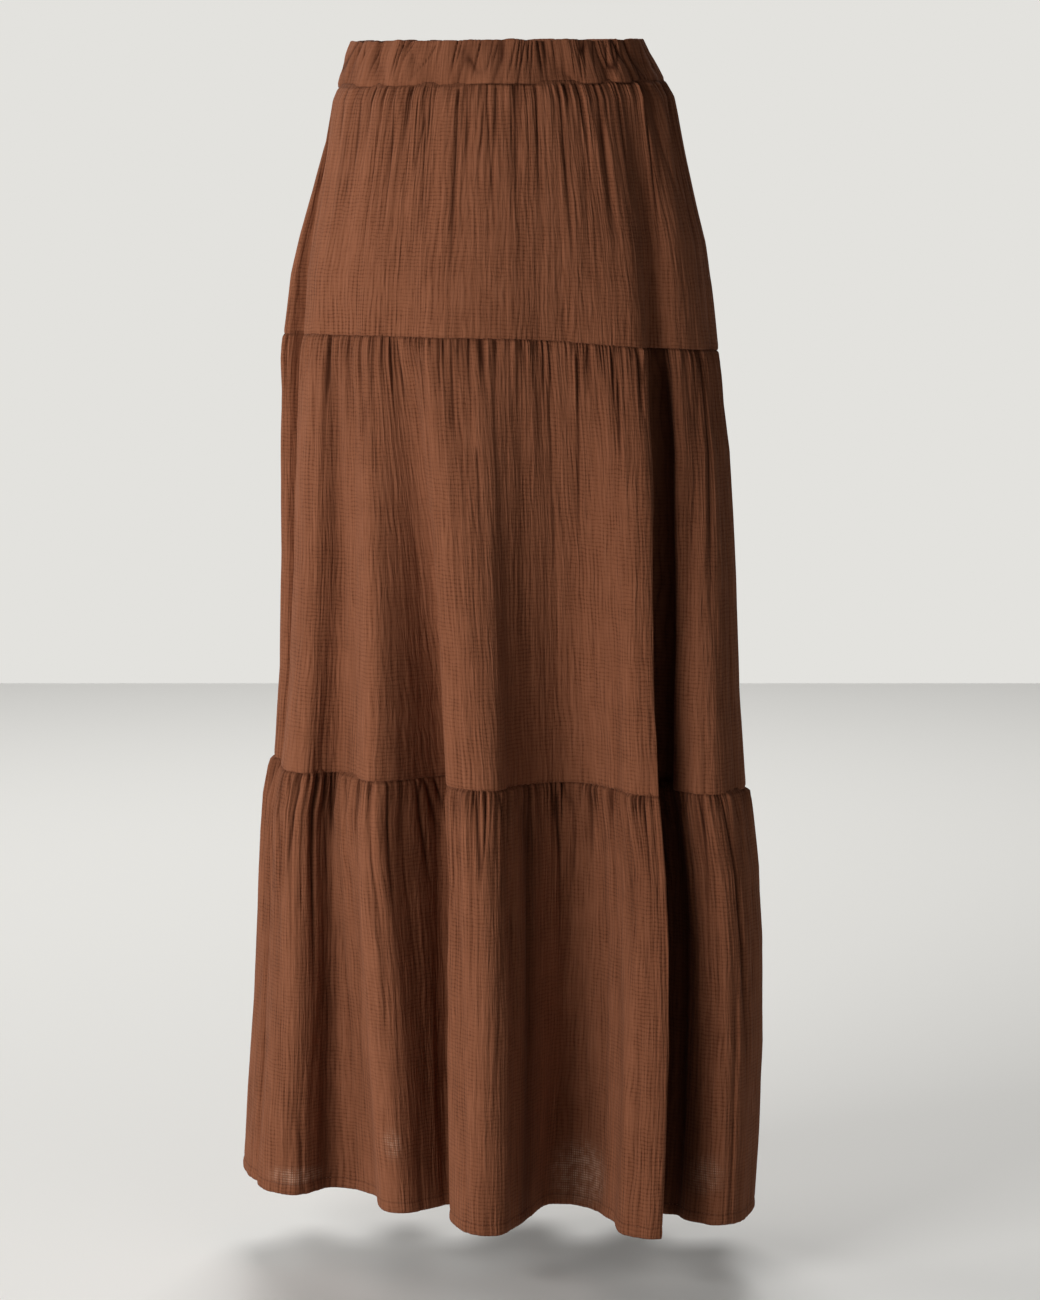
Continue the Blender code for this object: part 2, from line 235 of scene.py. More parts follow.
@dataclass
class SkirtForm:
    """The closed rings that all the cloth follows, the same as those of the CAD solids."""

    sections: tuple[Section, ...] = SECTIONS
    leans: tuple[Lean, ...] = LEANS
    fold_lines: tuple[FoldLine, ...] = FOLD_LINES
    roundness: float = 1.1
    shares: np.ndarray = field(init=False)

    def __post_init__(self) -> None:
        """Finds each fold line's place in the cloth."""
        steps = np.zeros(len(self.fold_lines))
        for seam, level in (("hip", HIP_SEAM), ("knee", KNEE_SEAM), ("hem", HEM)):
            points = self.seam_points(seam, level)
            chords = np.linalg.norm(np.roll(points, -1, axis=0) - points, axis=1)
            steps += chords / chords.sum()
        self.shares = np.concatenate([[0.0], np.cumsum(steps)[:-1]]) / steps.sum()

    def half_widths(self, level: float) -> tuple[float, float]:
        """The left and right half widths of the skirt at a level."""
        return at_level(self.sections, "left", level), at_level(self.sections, "right", level)

    def swell(self, level: float) -> float:
        """How much fuller the ring is from front to back than its two seams make it."""
        return at_level(self.sections, "swell", level)

    def seam_points(self, seam: str, level: float) -> np.ndarray:
        """Plan points of the fold lines, with their shares and depths at a seam.

        Args:
            seam: hip, knee or hem, whose columns of the fold lines are read.
            level: the level whose widths they take.

        Returns:
            One point, x and y, for each fold line.
        """
        across = np.array([getattr(line, f"{seam}_across") for line in self.fold_lines])
        depth = np.array([getattr(line, f"{seam}_y") for line in self.fold_lines])
        left, right = self.half_widths(level)
        return np.column_stack([across * np.where(across < 0, left, right), depth * self.swell(level)])

    def plain_oval(self, level: float, back: float, front: float) -> np.ndarray:
        """Plan points of the fold lines on an oval, each in its direction at the hip seam.

        Args:
            level: the level whose widths the oval takes.
            back: how far the oval reaches from its centre to the back.
            front: how far it reaches to the front.

        Returns:
            One point, x and y, for each fold line.
        """
        across = np.array([line.hip_across for line in self.fold_lines])
        depth = np.array([line.hip_y for line in self.fold_lines])
        turn = np.arctan2(across, -depth / np.where(depth < 0, HIP_BACK, HIP_FRONT))
        left, right = self.half_widths(level)
        x = np.sin(turn) * np.where(np.sin(turn) < 0, left, right)
        return np.column_stack([x, -np.cos(turn) * np.where(np.cos(turn) > 0, back, front)])

    def ring_points(self, level: float) -> np.ndarray:
        """Where each fold line passes through a level.

        Args:
            level: a level between the waist and the hem.

        Returns:
            One point, x and y, for each fold line.
        """
        if level > BAND_SEAM:
            back = between(WAIST_BACK, BAND_BACK, WAIST_TOP, BAND_SEAM, level)
            front = between(WAIST_FRONT, BAND_FRONT, WAIST_TOP, BAND_SEAM, level)
            return self.plain_oval(level, back, front)
        if level > HIP_SEAM:
            swell = self.swell(level)
            oval = self.plain_oval(level, BAND_BACK * swell, BAND_FRONT * swell)
            return between(oval, self.seam_points("hip", level), BAND_SEAM, HIP_SEAM, level)
        above, below, top, bottom = ("hip", "knee", HIP_SEAM, KNEE_SEAM)
        if level <= KNEE_SEAM:
            above, below, top, bottom = ("knee", "hem", KNEE_SEAM, HEM)
        first, second = self.seam_points(above, level), self.seam_points(below, level)
        return between(first, second, top, bottom, level)

    def lay(self, levels: np.ndarray, shares: np.ndarray) -> Lay:
        """Lays a grid of cloth on the form.

        Args:
            levels: the level of each row.
            shares: each column's place round the skirt.

        Returns:
            The grid's places and directions.
        """
        shares = shares % 1.0
        at = np.searchsorted(self.shares, shares, side="right") - 1
        after = (at + 1) % len(self.shares)
        widths = np.diff(np.append(self.shares, 1.0))[at]
        t = ((shares - self.shares[at]) / widths)[:, None]
        rows: list[list[np.ndarray]] = [[], [], []]
        for level in levels:
            points = self.ring_points(level)
            chords = np.roll(points, -1, axis=0) - points
            lengths = np.linalg.norm(chords, axis=1)[:, None]
            slopes = chords / lengths
            ways = slopes * np.roll(lengths, 1, axis=0) + np.roll(slopes, 1, axis=0) * lengths
            ways = self.roundness * ways / np.linalg.norm(ways, axis=1)[:, None]
            start, end = points[at], points[after]
            leave, arrive = ways[at] * lengths[at], ways[after] * lengths[at]
            place = (
                (2 * t**3 - 3 * t**2 + 1) * start
                + (t**3 - 2 * t**2 + t) * leave
                + (3 * t**2 - 2 * t**3) * end
                + (t**3 - t**2) * arrive
            )
            way = (
                (6 * t**2 - 6 * t) * start
                + (3 * t**2 - 4 * t + 1) * leave
                + (6 * t - 6 * t**2) * end
                + (3 * t**2 - 2 * t) * arrive
            )
            speed = np.linalg.norm(way, axis=1)
            rows[0].append(np.column_stack([place, self.lean(place, level)]))
            rows[1].append(way / speed[:, None])
            rows[2].append(speed / widths)
        place, along, stretch = (np.array(row) for row in rows)
        outward = np.stack([along[..., 1], -along[..., 0]], axis=-1)
        turn = np.unwrap(np.arctan2(along[..., 1], along[..., 0]), axis=1)
        bend = np.gradient(turn, axis=1) / (np.gradient(shares)[None, :] * stretch)
        return Lay(place, outward, along, stretch, bend)

    def lean(self, place: np.ndarray, level: float) -> np.ndarray:
        """The height of each point of a ring, which leans to the right and from the back.

        Args:
            place: the ring's plan points.
            level: its level.

        Returns:
            The points' heights.
        """
        drop = at_level(self.leans, "right_drop", level)
        rise = at_level(self.leans, "back_rise", level)
        x, y = place.T
        left, right = self.half_widths(level)
        return level - drop * x / np.where(x < 0, left, right) - rise * y / np.hypot(x, y)

    def share_at(self, fold: np.ndarray) -> np.ndarray:
        """The share of the cloth at a place counted in fold lines, such as 8.5."""
        lines = np.append(self.shares, 1.0)
        return np.interp(fold, np.arange(len(lines)), lines)


FORM = SkirtForm()


# A pattern passes through 0, where a crease lies, about once in this many of its cells.
CELLS_A_CREASE = 2.57

# A spline flattens the numbers in its cells, so they are stretched again by this much.
PATTERN_STRETCH = 1.6

# A cubic spline needs three rows of cells past its steps. The rest keeps the last place inside.
SPLINE_ROWS = 3.001

# How far a crease of the gathers reaches to each side, in its pattern's own numbers.
SHARP_REACH, ROUND_REACH = 0.09, 0.14

# How much painted shade darkens a sharp crease, and one between round waves that are as high as they are
# wide.
SHARP_CREASE_SHADE, ROUND_CREASE_SHADE = 0.9, 4.6

# The least and the most of the cloth's width that a ring's length is taken to be.
LEAST_CLOSENESS, MOST_CLOSENESS = 0.45, 0.99

# How high the crests of gathers and of crinkles stand above their creases, for a pattern of 1.
GATHER_RIDGES, CRINKLE_RIDGES = 2.3, 2.2

# The breadth of a crease placed by hand at its top end, and what it gains down to its lower end.
OPENS_FROM, OPENS_BY = 0.7, 0.8

# The share of a crease's depth that is a narrow notch in a soft trough, and how steep that is.
NOTCH_SHARE, NOTCH_STEEPNESS = 0.65, 2.2

# The cells, across and down, of the patterns that move the crinkles and fade them in patches.
SWAY_CELL = (13 * MM, 26 * MM)
PATCH_CELL = (50 * MM, 60 * MM)

# The cells of the pattern that moves all the creases, and how many of them go down a piece.
DRIFT_WIDTH, DRIFT_ROWS = 70 * MM, 5

# The longer crinkles: their width in widths of the shorter ones, and how far they run.
LONG_CRINKLE_WIDTH, LONG_CRINKLE_RUN = 1.7, 160 * MM

# How high the shorter and the longer crinkles stand, as shares of a piece's crinkle.
SHORT_CRINKLE, LONG_CRINKLE = 0.65, 0.50

# The breadth of the painted shade line along a seam.
SEAM_SHADE_LINE = 1.2 * MM

# How far the wave of a seam reaches into the cloth on both its sides.
SEAM_REACH = 12 * MM

# A crest stays lower than this share of the radius of the valley that it stands in.
VALLEY_ROOM = 0.4


def ridged(pattern: np.ndarray, height: float) -> np.ndarray:
    """Round ridges with sharp creases between them, which lie where a pattern is 0."""
    return height * np.abs(pattern) ** 0.75 - 1.0


def short_way(shares: np.ndarray, centre: float | np.ndarray) -> np.ndarray:
    """How far round the skirt each place is from a centre, the shorter way."""
    return (shares - centre + 0.5) % 1.0 - 0.5


class Unevenness(NamedTuple):
    """How much a pattern makes waves vary, between a least and a most."""

    middle: float
    spread: float
    least: float
    most: float

    def factor(self, pattern: np.ndarray) -> np.ndarray:
        """How high the waves are for each number of a pattern, as a share of their full height."""
        return np.clip(self.middle + self.spread * pattern, self.least, self.most)


SHARP_WAVES = Unevenness(middle=0.45, spread=1.5, least=0.0, most=1.5)
ROUND_WAVES = Unevenness(middle=0.90, spread=0.8, least=0.15, most=1.8)


class Pattern:
    """A seeded, smooth and uneven pattern that closes up round the skirt."""

    def __init__(self, random: np.random.Generator, around: int, down: int) -> None:
        """Draws the pattern.

        Args:
            random: where its numbers come from.
            around: how many cells go once round the skirt.
            down: how many cells go down the piece.
        """
        self.cells = random.uniform(-1.0, 1.0, (down + 3, around))

    def at(self, around: np.ndarray, down: np.ndarray) -> np.ndarray:
        """Reads the pattern.

        Args:
            around: places round the skirt, from 0 to 1.
            down: places down the piece, from 0 to 1.

        Returns:
            Values between about -1 and 1.
        """
        rows, columns = self.cells.shape
        x = np.asarray(around) * columns
        y = np.clip(down, 0.0, 1.0) * (rows - SPLINE_ROWS)
        x0, y0 = np.floor(x).astype(int), np.floor(y).astype(int)
        total = np.zeros(np.broadcast(x, y).shape)
        for j, v in enumerate(self.weights(y - y0)):
            for i, u in enumerate(self.weights(x - x0)):
                total += u * v * self.cells[y0 + j, (x0 + i) % columns]
        return PATTERN_STRETCH * total

    @staticmethod
    def weights(t: np.ndarray) -> tuple[np.ndarray, ...]:
        """The four weights of a cubic B-spline.

        Args:
            t: how far each point is from one cell to the next.

        Returns:
            The weights of the cells before, at, after and next after it.
        """
        s = 1.0 - t
        middle = (3 * t**3 - 6 * t**2 + 4) / 6, (3 * s**3 - 6 * s**2 + 4) / 6
        return s**3 / 6, *middle, t**3 / 6


class Gathers(NamedTuple):
    """One width of waves in gathered cloth, in millimetres.

    spacing is about the distance from crease to crease in the flat cloth, and run is how far a
    crease goes before it changes. The waves come in over begins below the seam, fade over fades
    to the share rest of their height, and stand no taller than limit. Sharp ones are thin
    creases here and there in plain cloth, and the others are round crests all along.
    """

    spacing: float
    run: float
    begins: float
    fades: float
    rest: float
    limit: float
    sharp: bool = False


class Crease(NamedTuple):
    """A listed crease. It runs from one place to another, counted in fold lines.

    The rest is in millimetres. start and end are distances below the piece's top edge, height is
    how far it stands out, or in where it is negative, and width is half its breadth in the
    cloth. slip is how far it moves round the skirt, over what lies beside it. A soft one is a
    round trough or ridge, and shade is how much painted shade darkens its depth, from 0 to 1. A
    sharp one always gets painted shade in its notch.
    """

    top_fold: float
    bottom_fold: float
    start: float
    end: float
    height: float
    width: float
    slip: float = 0.0
    soft: bool = False
    shade: float = 0.0

    def shape(self, away: np.ndarray, downs: np.ndarray) -> tuple[np.ndarray, np.ndarray]:
        """The crease's form across and along it.

        A soft one is round and even from end to end. A sharp one starts at once, and opens and
        grows shallow towards its lower end.

        Args:
            away: how far each point is from its middle, in its own widths.
            downs: each row's distance below the top edge, as a column.

        Returns:
            Its depth and its painted shade at each point, from 0 to 1.
        """
        along = self.along(downs)
        if self.soft:
            bell = np.exp(-(away**2)) * smooth(along, -0.1, 0.15) * (1.0 - smooth(along, 0.85, 1.1))
            return bell, self.shade * bell
        away = away / (OPENS_FROM + OPENS_BY * np.clip(along, 0.0, 1.0))
        notch, trough = np.exp(-NOTCH_STEEPNESS * away), np.exp(-(away**2))
        bell = NOTCH_SHARE * notch + (1.0 - NOTCH_SHARE) * trough
        bell = bell * smooth(downs - self.start * MM, -2.0 * MM, 4.0 * MM)
        bell = bell * (1.0 - smooth(along, 0.35, 1.0))
        return bell, bell * np.exp(-((away / 0.8) ** 2))

    def along(self, downs: np.ndarray) -> np.ndarray:
        """How far down the crease each row is, from 0 at its start to 1 at its end."""
        return (downs - self.start * MM) / ((self.end - self.start) * MM)

    def fold(self, downs: np.ndarray) -> np.ndarray:
        """The place of the crease's middle at each row, counted in fold lines."""
        reach = np.clip(self.along(downs), 0.0, 1.0)
        return self.top_fold + (self.bottom_fold - self.top_fold) * reach


class SheerPatch(NamedTuple):
    """A place where light through the gauze is painted, at a fold and a distance below the edge.

    below is that distance, and around and down are the patch's half breadth in the flat cloth
    and its half height, all in millimetres.
    """

    fold: float
    below: float
    around: float
    down: float
    strength: float


class Relief(NamedTuple):
    """How far a grid stands out from its form, in metres, and the painted shade of its creases, from 0 to
    1.
    """

    heights: np.ndarray
    creases: np.ndarray


@dataclass
class OuterPly:
    """The finished grid of an outer ply."""

    shares: np.ndarray
    downs: np.ndarray
    points: np.ndarray
    heights: np.ndarray


@dataclass
class ClothShell:
    """A ring of the skirt between two seams, cut as a back and a front.

    cut_width is the flat cloth's width all round, and columns and rows are the quads of the
    outer ply all round and down. The inner ply has coarser ones. The crinkles are crinkle high
    and crinkle_spacing apart, change after crinkle_run and wander by sway. drift is how far all
    the creases wander, and least_rows is the fewest changes that they make down the piece.
    full_mark is the height that the finish takes for a full crest, which gets its full painted
    highlight, as a valley as deep gets its full painted shade. The cloth is tucked up by tucked
    behind the seam above it, and its rows lie closer for close_rows at both edges.
    """

    name: str
    top: float
    bottom: float
    cut_width: float
    columns: int
    rows: int
    seed: int
    slot: str
    gathers: tuple[Gathers, ...] = ()
    creases: tuple[Crease, ...] = ()
    sheer: tuple[SheerPatch, ...] = ()
    inner_columns: int = 240
    inner_rows: int = 16
    thickness: float = 0.8 * MM
    crinkle: float = 0.32 * MM
    crinkle_spacing: float = 5.6 * MM
    crinkle_run: float = 45 * MM
    drift: float = 3.0 * MM
    sway: float = 1.2 * MM
    least_rows: int = 2
    full_mark: float = 1.5 * MM
    tucked: float = 3.0 * MM
    close_rows: float = 14 * MM
    patterns: dict[str, Pattern] = field(init=False, default_factory=dict)

    def __post_init__(self) -> None:
        """Draws the uneven patterns, in an order that never changes."""
        random = np.random.default_rng(self.seed)
        self.patterns["drift"] = Pattern(random, round(self.cut_width / DRIFT_WIDTH), DRIFT_ROWS)
        self.patterns["sway"] = self.draw(random, *SWAY_CELL)
        cell = self.crinkle_spacing / CELLS_A_CREASE
        self.patterns["crinkle"] = self.draw(random, cell, self.crinkle_run)
        self.patterns["long crinkle"] = self.draw(random, LONG_CRINKLE_WIDTH * cell, LONG_CRINKLE_RUN)
        self.patterns["patches"] = self.draw(random, *PATCH_CELL)
        for wave in self.gathers:
            cell, run = wave.spacing * MM / CELLS_A_CREASE, wave.run * MM
            self.patterns[f"creases {wave.spacing}"] = self.draw(random, cell, run)
            self.patterns[f"height {wave.spacing}"] = self.draw(random, 2.0 * cell, 0.5 * run)

    @property
    def drop(self) -> float:
        """The distance from the top edge to the bottom edge."""
        return self.top - self.bottom

    def draw(self, random: np.random.Generator, across: float, down: float) -> Pattern:
        """A pattern whose cells have a width and a length, in metres of flat cloth."""
        rows = max(self.least_rows, round(self.drop / down))
        return Pattern(random, round(self.cut_width / across), rows)

    def waves(self, wave: Gathers, around: np.ndarray, downs: np.ndarray, lay: Lay) -> Relief:
        """The waves of one width, as high as the cloth's spare width makes them.

        Args:
            wave: the width of waves.
            around: each point's place round the skirt, after its drift.
            downs: each row's distance below the top edge.
            lay: where the grid lies.

        Returns:
            The waves' relief.
        """
        share_down = downs / self.drop
        spacing, limit, begins = wave.spacing * MM, wave.limit * MM, wave.begins * MM
        fade = np.exp(-np.clip(downs, 0.0, None) / (wave.fades * MM))
        strength = smooth(downs, -0.5 * begins, begins) * (wave.rest + (1.0 - wave.rest) * fade)
        crossing = np.abs(self.patterns[f"creases {wave.spacing}"].at(around, share_down))
        uneven = self.patterns[f"height {wave.spacing}"].at(around, share_down)
        if wave.sharp:
            pinch = strength * SHARP_WAVES.factor(uneven) * np.exp(-crossing / SHARP_REACH)
            # A sharp crease is a dent with painted shade in it.
            return Relief(-limit * pinch, SHARP_CREASE_SHADE * pinch)
        closeness = np.clip(lay.stretch / self.cut_width, LEAST_CLOSENESS, MOST_CLOSENESS)
        slack = np.sqrt(1.0 / closeness - 1.0)
        tallest = np.minimum(spacing * closeness / math.pi * slack, limit)
        height = strength * tallest * ROUND_WAVES.factor(uneven)
        # Painted shade in the creases between round waves.
        painted_shade = ROUND_CREASE_SHADE * height / spacing * np.exp(-crossing / ROUND_REACH)
        return Relief(height * ridged(crossing, GATHER_RIDGES), painted_shade)

    def hand_creases(self, shares: np.ndarray, downs: np.ndarray) -> tuple[Relief, np.ndarray]:
        """The listed creases.

        Args:
            shares: each column's place round the skirt.
            downs: each row's distance below the top edge, as a column.

        Returns:
            Their relief, and how far each point moves round the skirt.
        """
        out = np.zeros((len(downs), len(shares)))
        dark, slip = np.zeros_like(out), np.zeros_like(out)
        for crease in self.creases:
            away = np.abs(short_way(shares[None, :], FORM.share_at(crease.fold(downs))))
            depth, painted_shade = crease.shape(away * self.cut_width / (crease.width * MM), downs)
            out += crease.height * MM * depth
            slip += crease.slip * MM * depth
            # The painted shade in each crease's depth.
            dark += painted_shade
        return Relief(out, dark), slip

    def edge_profile(self, downs: np.ndarray) -> np.ndarray:
        """How far the cloth stands out or in along its top and bottom edges."""
        return np.zeros_like(downs)

    def relief(self, shares: np.ndarray, downs: np.ndarray, lay: Lay) -> Relief:
        """How far the outer ply stands out from the form, and the painted shade of its creases.

        Args:
            shares: each column's place round the skirt.
            downs: each row's distance below the top edge, as a column.
            lay: where the grid lies.

        Returns:
            The relief of the edges, the listed creases, the gathers and the crinkles.
        """
        share_down = downs / self.drop
        drift = self.drift / self.cut_width * self.patterns["drift"].at(shares[None, :], share_down)
        around = shares[None, :] + drift + self.slant(shares[None, :], share_down)
        by_hand, _ = self.hand_creases(shares, downs)
        heights = self.edge_profile(downs) + by_hand.heights + self.crinkle_heights(around, share_down)
        # Painted shade in the listed creases and along the seam.
        creases = by_hand.creases + self.edge_creases(downs)
        for wave in self.gathers:
            relief = self.waves(wave, around, downs, lay)
            heights = heights + relief.heights
            creases = creases + relief.creases
        room = VALLEY_ROOM / np.clip(-lay.bend, 1.0, None)
        return Relief(np.minimum(heights, room), np.clip(creases, 0.0, 1.0))

    def edge_creases(self, downs: np.ndarray) -> np.ndarray:
        """The painted shade line where the cloth goes into the seam at its top edge."""
        return 0.5 * (1.0 - smooth(downs, 0.1 * MM, SEAM_SHADE_LINE))

    def slant(self, shares: np.ndarray, share_down: np.ndarray) -> np.ndarray:
        """How far round the skirt the creases have run on at each point."""
        return 0.0 * shares * share_down

    def crinkle_heights(self, around: np.ndarray, share_down: np.ndarray) -> np.ndarray:
        """The fine crinkles of the gauze: round ridges with sharp creases between them.

        Args:
            around: each point's place round the skirt, after its drift.
            share_down: each row's place down the piece, from 0 to 1.

        Returns:
            How far the crinkles stand out.
        """
        around = around + self.sway / self.cut_width * self.patterns["sway"].at(around, share_down)
        short = ridged(self.patterns["crinkle"].at(around, share_down), CRINKLE_RIDGES)
        long = ridged(self.patterns["long crinkle"].at(around, share_down), CRINKLE_RIDGES)
        patches = 1.0 + 0.3 * self.patterns["patches"].at(around, share_down)
        return self.crinkle * patches * (SHORT_CRINKLE * short + LONG_CRINKLE * long)

    def seam_waves(self, shares: np.ndarray, downs: np.ndarray) -> np.ndarray:
        """How far each point is raised by the waves of the seams above and below it.

        Args:
            shares: each column's place round the skirt, as a row.
            downs: each row's distance below the top edge, as a column.

        Returns:
            The points' rise.
        """
        above = SEAM_WAVES[self.top].at(shares) * np.exp(-np.abs(downs) / SEAM_REACH)
        below = SEAM_WAVES[self.bottom].at(shares) * np.exp(-np.abs(self.drop - downs) / SEAM_REACH)
        return above + below

    def outer_downs(self) -> np.ndarray:
        """The rows of the outer ply, closer together near the two edges."""
        return spread_rows(-self.tucked, self.drop, self.rows, self.close_rows)

    def inner_downs(self) -> np.ndarray:
        """The rows of the inner ply."""
        return spread_rows(-self.tucked, self.drop, self.inner_rows, self.close_rows)

    def lay(self, shares: np.ndarray, downs: np.ndarray) -> Lay:
        """Lays a grid of the piece on the form."""
        return FORM.lay(np.clip(self.top - downs, HEM, WAIST_TOP), shares)

    def surface(self, shares: np.ndarray, downs: np.ndarray) -> tuple[np.ndarray, Relief]:
        """The points of the outer ply.

        Args:
            shares: each column's place round the skirt.
            downs: each row's distance below the top edge.

        Returns:
            The points, and their relief.
        """
        lay = self.lay(shares, downs)
        relief = self.relief(shares, downs[:, None], lay)
        return self.placed(lay, relief.heights, shares, downs), relief

    def placed(self, lay: Lay, heights: np.ndarray, shares: np.ndarray, downs: np.ndarray) -> np.ndarray:
        """The points of a grid, with their slips round the skirt and the waves of their seams.

        Args:
            lay: where the grid lies.
            heights: how far each point stands out from the form.
            shares: each column's place round the skirt.
            downs: each row's distance below the top edge.

        Returns:
            The points.
        """
        _, slip = self.hand_creases(shares, downs[:, None])
        points = lay.place.copy()
        points[..., :2] += heights[..., None] * lay.outward + slip[..., None] * lay.along
        points[..., 2] += self.seam_waves(shares[None, :], downs[:, None])
        return points

    def backing(self, shares: np.ndarray, downs: np.ndarray, outer: OuterPly) -> np.ndarray:
        """The points of the inner ply, which stays behind the deepest creases of the outer one.

        Args:
            shares: each column's place round the skirt.
            downs: each row's distance below the top edge.
            outer: the outer ply.

        Returns:
            The points.
        """
        lay = self.lay(shares, downs)
        deepest = lowest_around(outer.heights, outer.downs, downs, 0)
        deepest = lowest_around(deepest, outer.shares, shares, 1)
        return self.placed(lay, deepest - self.thickness, shares, downs)

    def columns_of(self, half: Half, all_round: int) -> np.ndarray:
        """The places of one half's columns round the skirt, less half a seam's gap at each side.

        Args:
            half: the back or the front.
            all_round: how many columns of quads go all round the skirt.

        Returns:
            The columns' places.
        """
        right = FORM.shares[RIGHT_SIDE]
        first, last = (0.0, right) if half is Half.BACK else (right, 1.0)
        gap = 0.5 * SEAM_GAP / self.cut_width
        return np.linspace(first + gap, last - gap, round(all_round * (last - first)) + 1)

    def build(self, half: Half) -> bpy.types.Object:
        """Makes one cut piece.

        Args:
            half: the back or the front.

        Returns:
            The finished object.
        """
        shares = self.columns_of(half, self.columns)
        points, relief = self.surface(shares, self.outer_downs())
        outer = OuterPly(shares, self.outer_downs(), points, relief.heights)
        inner_shares, inner_downs = self.columns_of(half, self.inner_columns), self.inner_downs()
        inner = self.backing(inner_shares, inner_downs, outer)
        mesh = shell_mesh(f"{self.name}_{half.value}_gauze", outer.points, inner)
        flat = [self.flat_places(shares, outer.downs), self.flat_places(inner_shares, inner_downs)]
        add_flat_map(mesh, np.concatenate(flat))
        # Marks for the finish: relief for painted shade and highlight, crease for painted shade in the
        # creases, sheer for painted light through the gauze.
        marks = {
            "relief": np.clip(relief.heights / self.full_mark, -1.0, 1.0),
            "crease": relief.creases,
            "sheer": self.sheer_at(shares, outer.downs[:, None]),
        }
        for name, values in marks.items():
            add_marks(mesh, name, np.concatenate([values.ravel(), np.zeros(inner.size // 3)]))
        return put_in_scene(mesh.name, mesh)

    def sheer_at(self, shares: np.ndarray, downs: np.ndarray) -> np.ndarray:
        """How much painted light, as if through the gauze, each point of a grid gets.

        Args:
            shares: each column's place round the skirt.
            downs: each row's distance below the top edge, as a column.

        Returns:
            The painted light, from 0 to 1.
        """
        total = np.zeros((len(downs), len(shares)))
        for patch in self.sheer:
            away = short_way(shares[None, :], FORM.share_at(patch.fold))
            around = away * self.cut_width / (patch.around * MM)
            down = (downs - patch.below * MM) / (patch.down * MM)
            total += patch.strength * np.exp(-((around**2 + down**2) ** 2))
        return total

    def flat_places(self, shares: np.ndarray, downs: np.ndarray) -> np.ndarray:
        """Where each point of a grid is in the flat cloth, in metres."""
        across, down = np.meshgrid(shares * self.cut_width, self.top - downs)
        return np.column_stack([across.ravel(), down.ravel()])

    def declare(self, piece: bpy.types.Object, half: Half, with_pieces: list[bpy.types.Object]) -> None:
        """Hangs the piece on the root, and hides the CAD solid that it was cut from.

        Args:
            piece: the finished piece.
            half: the back or the front.
            with_pieces: what is sewn on it, which is not used.
        """
        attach(piece, "root")
        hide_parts(f"{self.name}_{half.value}")


def lowest_around(heights: np.ndarray, fine: np.ndarray, coarse: np.ndarray, axis: int) -> np.ndarray:
    """The lowest height near each coarse place, along one side of a grid.

    Args:
        heights: the grid of heights.
        fine: the grid's places along that side.
        coarse: the places that are asked for.
        axis: the side, 0 for down and 1 for round the skirt.

    Returns:
        The grid with its side resampled.
    """
    edges = np.concatenate([[coarse[0]], coarse, [coarse[-1]]])
    first = np.searchsorted(fine, edges[:-2] - 1e-9)
    last = np.searchsorted(fine, edges[2:] + 1e-9)
    offset = len(fine) - heights.shape[axis]
    windows = [
        np.min(np.take(heights, range(max(a - offset, 0), max(b - offset, 1)), axis=axis), axis=axis)
        for a, b in zip(first, last, strict=True)
    ]
    return np.stack(windows, axis=axis)


def spread_rows(first: float, last: float, count: int, edge: float) -> np.ndarray:
    """Distances down a piece that lie about three times closer near its edges.

    Args:
        first: the distance of the first row.
        last: the distance of the last row.
        count: how many steps lie between them.
        edge: how far from an edge the rows are close.

    Returns:
        The distances.
    """
    fine = np.linspace(first, last, 400)
    from_edges = np.minimum(fine - first, last - fine)
    density = 1.0 + 2.2 * np.exp(-((from_edges / edge) ** 2))
    reach = np.concatenate([[0.0], np.cumsum(0.5 * (density[1:] + density[:-1]))])
    return np.interp(np.linspace(0.0, reach[-1], count + 1), reach, fine)


@dataclass(frozen=True)
class SeamWave:
    """The small rise and fall of a seam or an edge, which both pieces at it share.

    length is its length round the skirt. It rises by height over spacing, and its puckers by
    scallop over scallop_spacing.
    """

    seed: int
    height: float
    spacing: float
    length: float
    scallop: float = 0.0
    scallop_spacing: float = 14 * MM

    def at(self, shares: np.ndarray) -> np.ndarray:
        """How far the seam is raised at each place round the skirt.

        Args:
            shares: the places.

        Returns:
            The seam's rise at each.
        """
        random = np.random.default_rng(self.seed)
        soft = Pattern(random, round(self.length / self.spacing), 1).at(shares, 0.5)
        tight = Pattern(random, round(self.length / self.scallop_spacing), 1).at(shares, 0.5)
        return self.height * soft + self.scallop * (np.abs(tight) - 0.4)


SEAM_WAVES = {
    WAIST_TOP: SeamWave(seed=5, height=0.6 * MM, spacing=30 * MM, length=0.68, scallop=0.8 * MM),
    BAND_SEAM: SeamWave(seed=6, height=0.5 * MM, spacing=40 * MM, length=0.76, scallop=1.6 * MM),
    HIP_SEAM: SeamWave(seed=7, height=0.8 * MM, spacing=60 * MM, length=0.97, scallop=0.3 * MM),
    KNEE_SEAM: SeamWave(seed=8, height=0.9 * MM, spacing=60 * MM, length=1.44, scallop=0.4 * MM),
    HEM: SeamWave(seed=9, height=0.8 * MM, spacing=45 * MM, length=1.91, scallop=0.7 * MM),
}


class EdgePoint(NamedTuple):
    """How far the cloth stands out at one distance from an edge."""

    distance: float
    out: float


BELOW_SEAM = (
    EdgePoint(-3.0 * MM, -1.5 * MM),
    EdgePoint(-0.3 * MM, -1.0 * MM),
    EdgePoint(1.0 * MM, -0.2 * MM),
    EdgePoint(3.0 * MM, 0.5 * MM),
    EdgePoint(10.0 * MM, 1.0 * MM),
    EdgePoint(35.0 * MM, 0.6 * MM),
    EdgePoint(90.0 * MM, 0.0),
)

ABOVE_SEAM = (
    EdgePoint(0.0, -0.8 * MM),
    EdgePoint(1.2 * MM, -0.2 * MM),
    EdgePoint(4.0 * MM, 0.1 * MM),
    EdgePoint(12.0 * MM, 0.0),
)

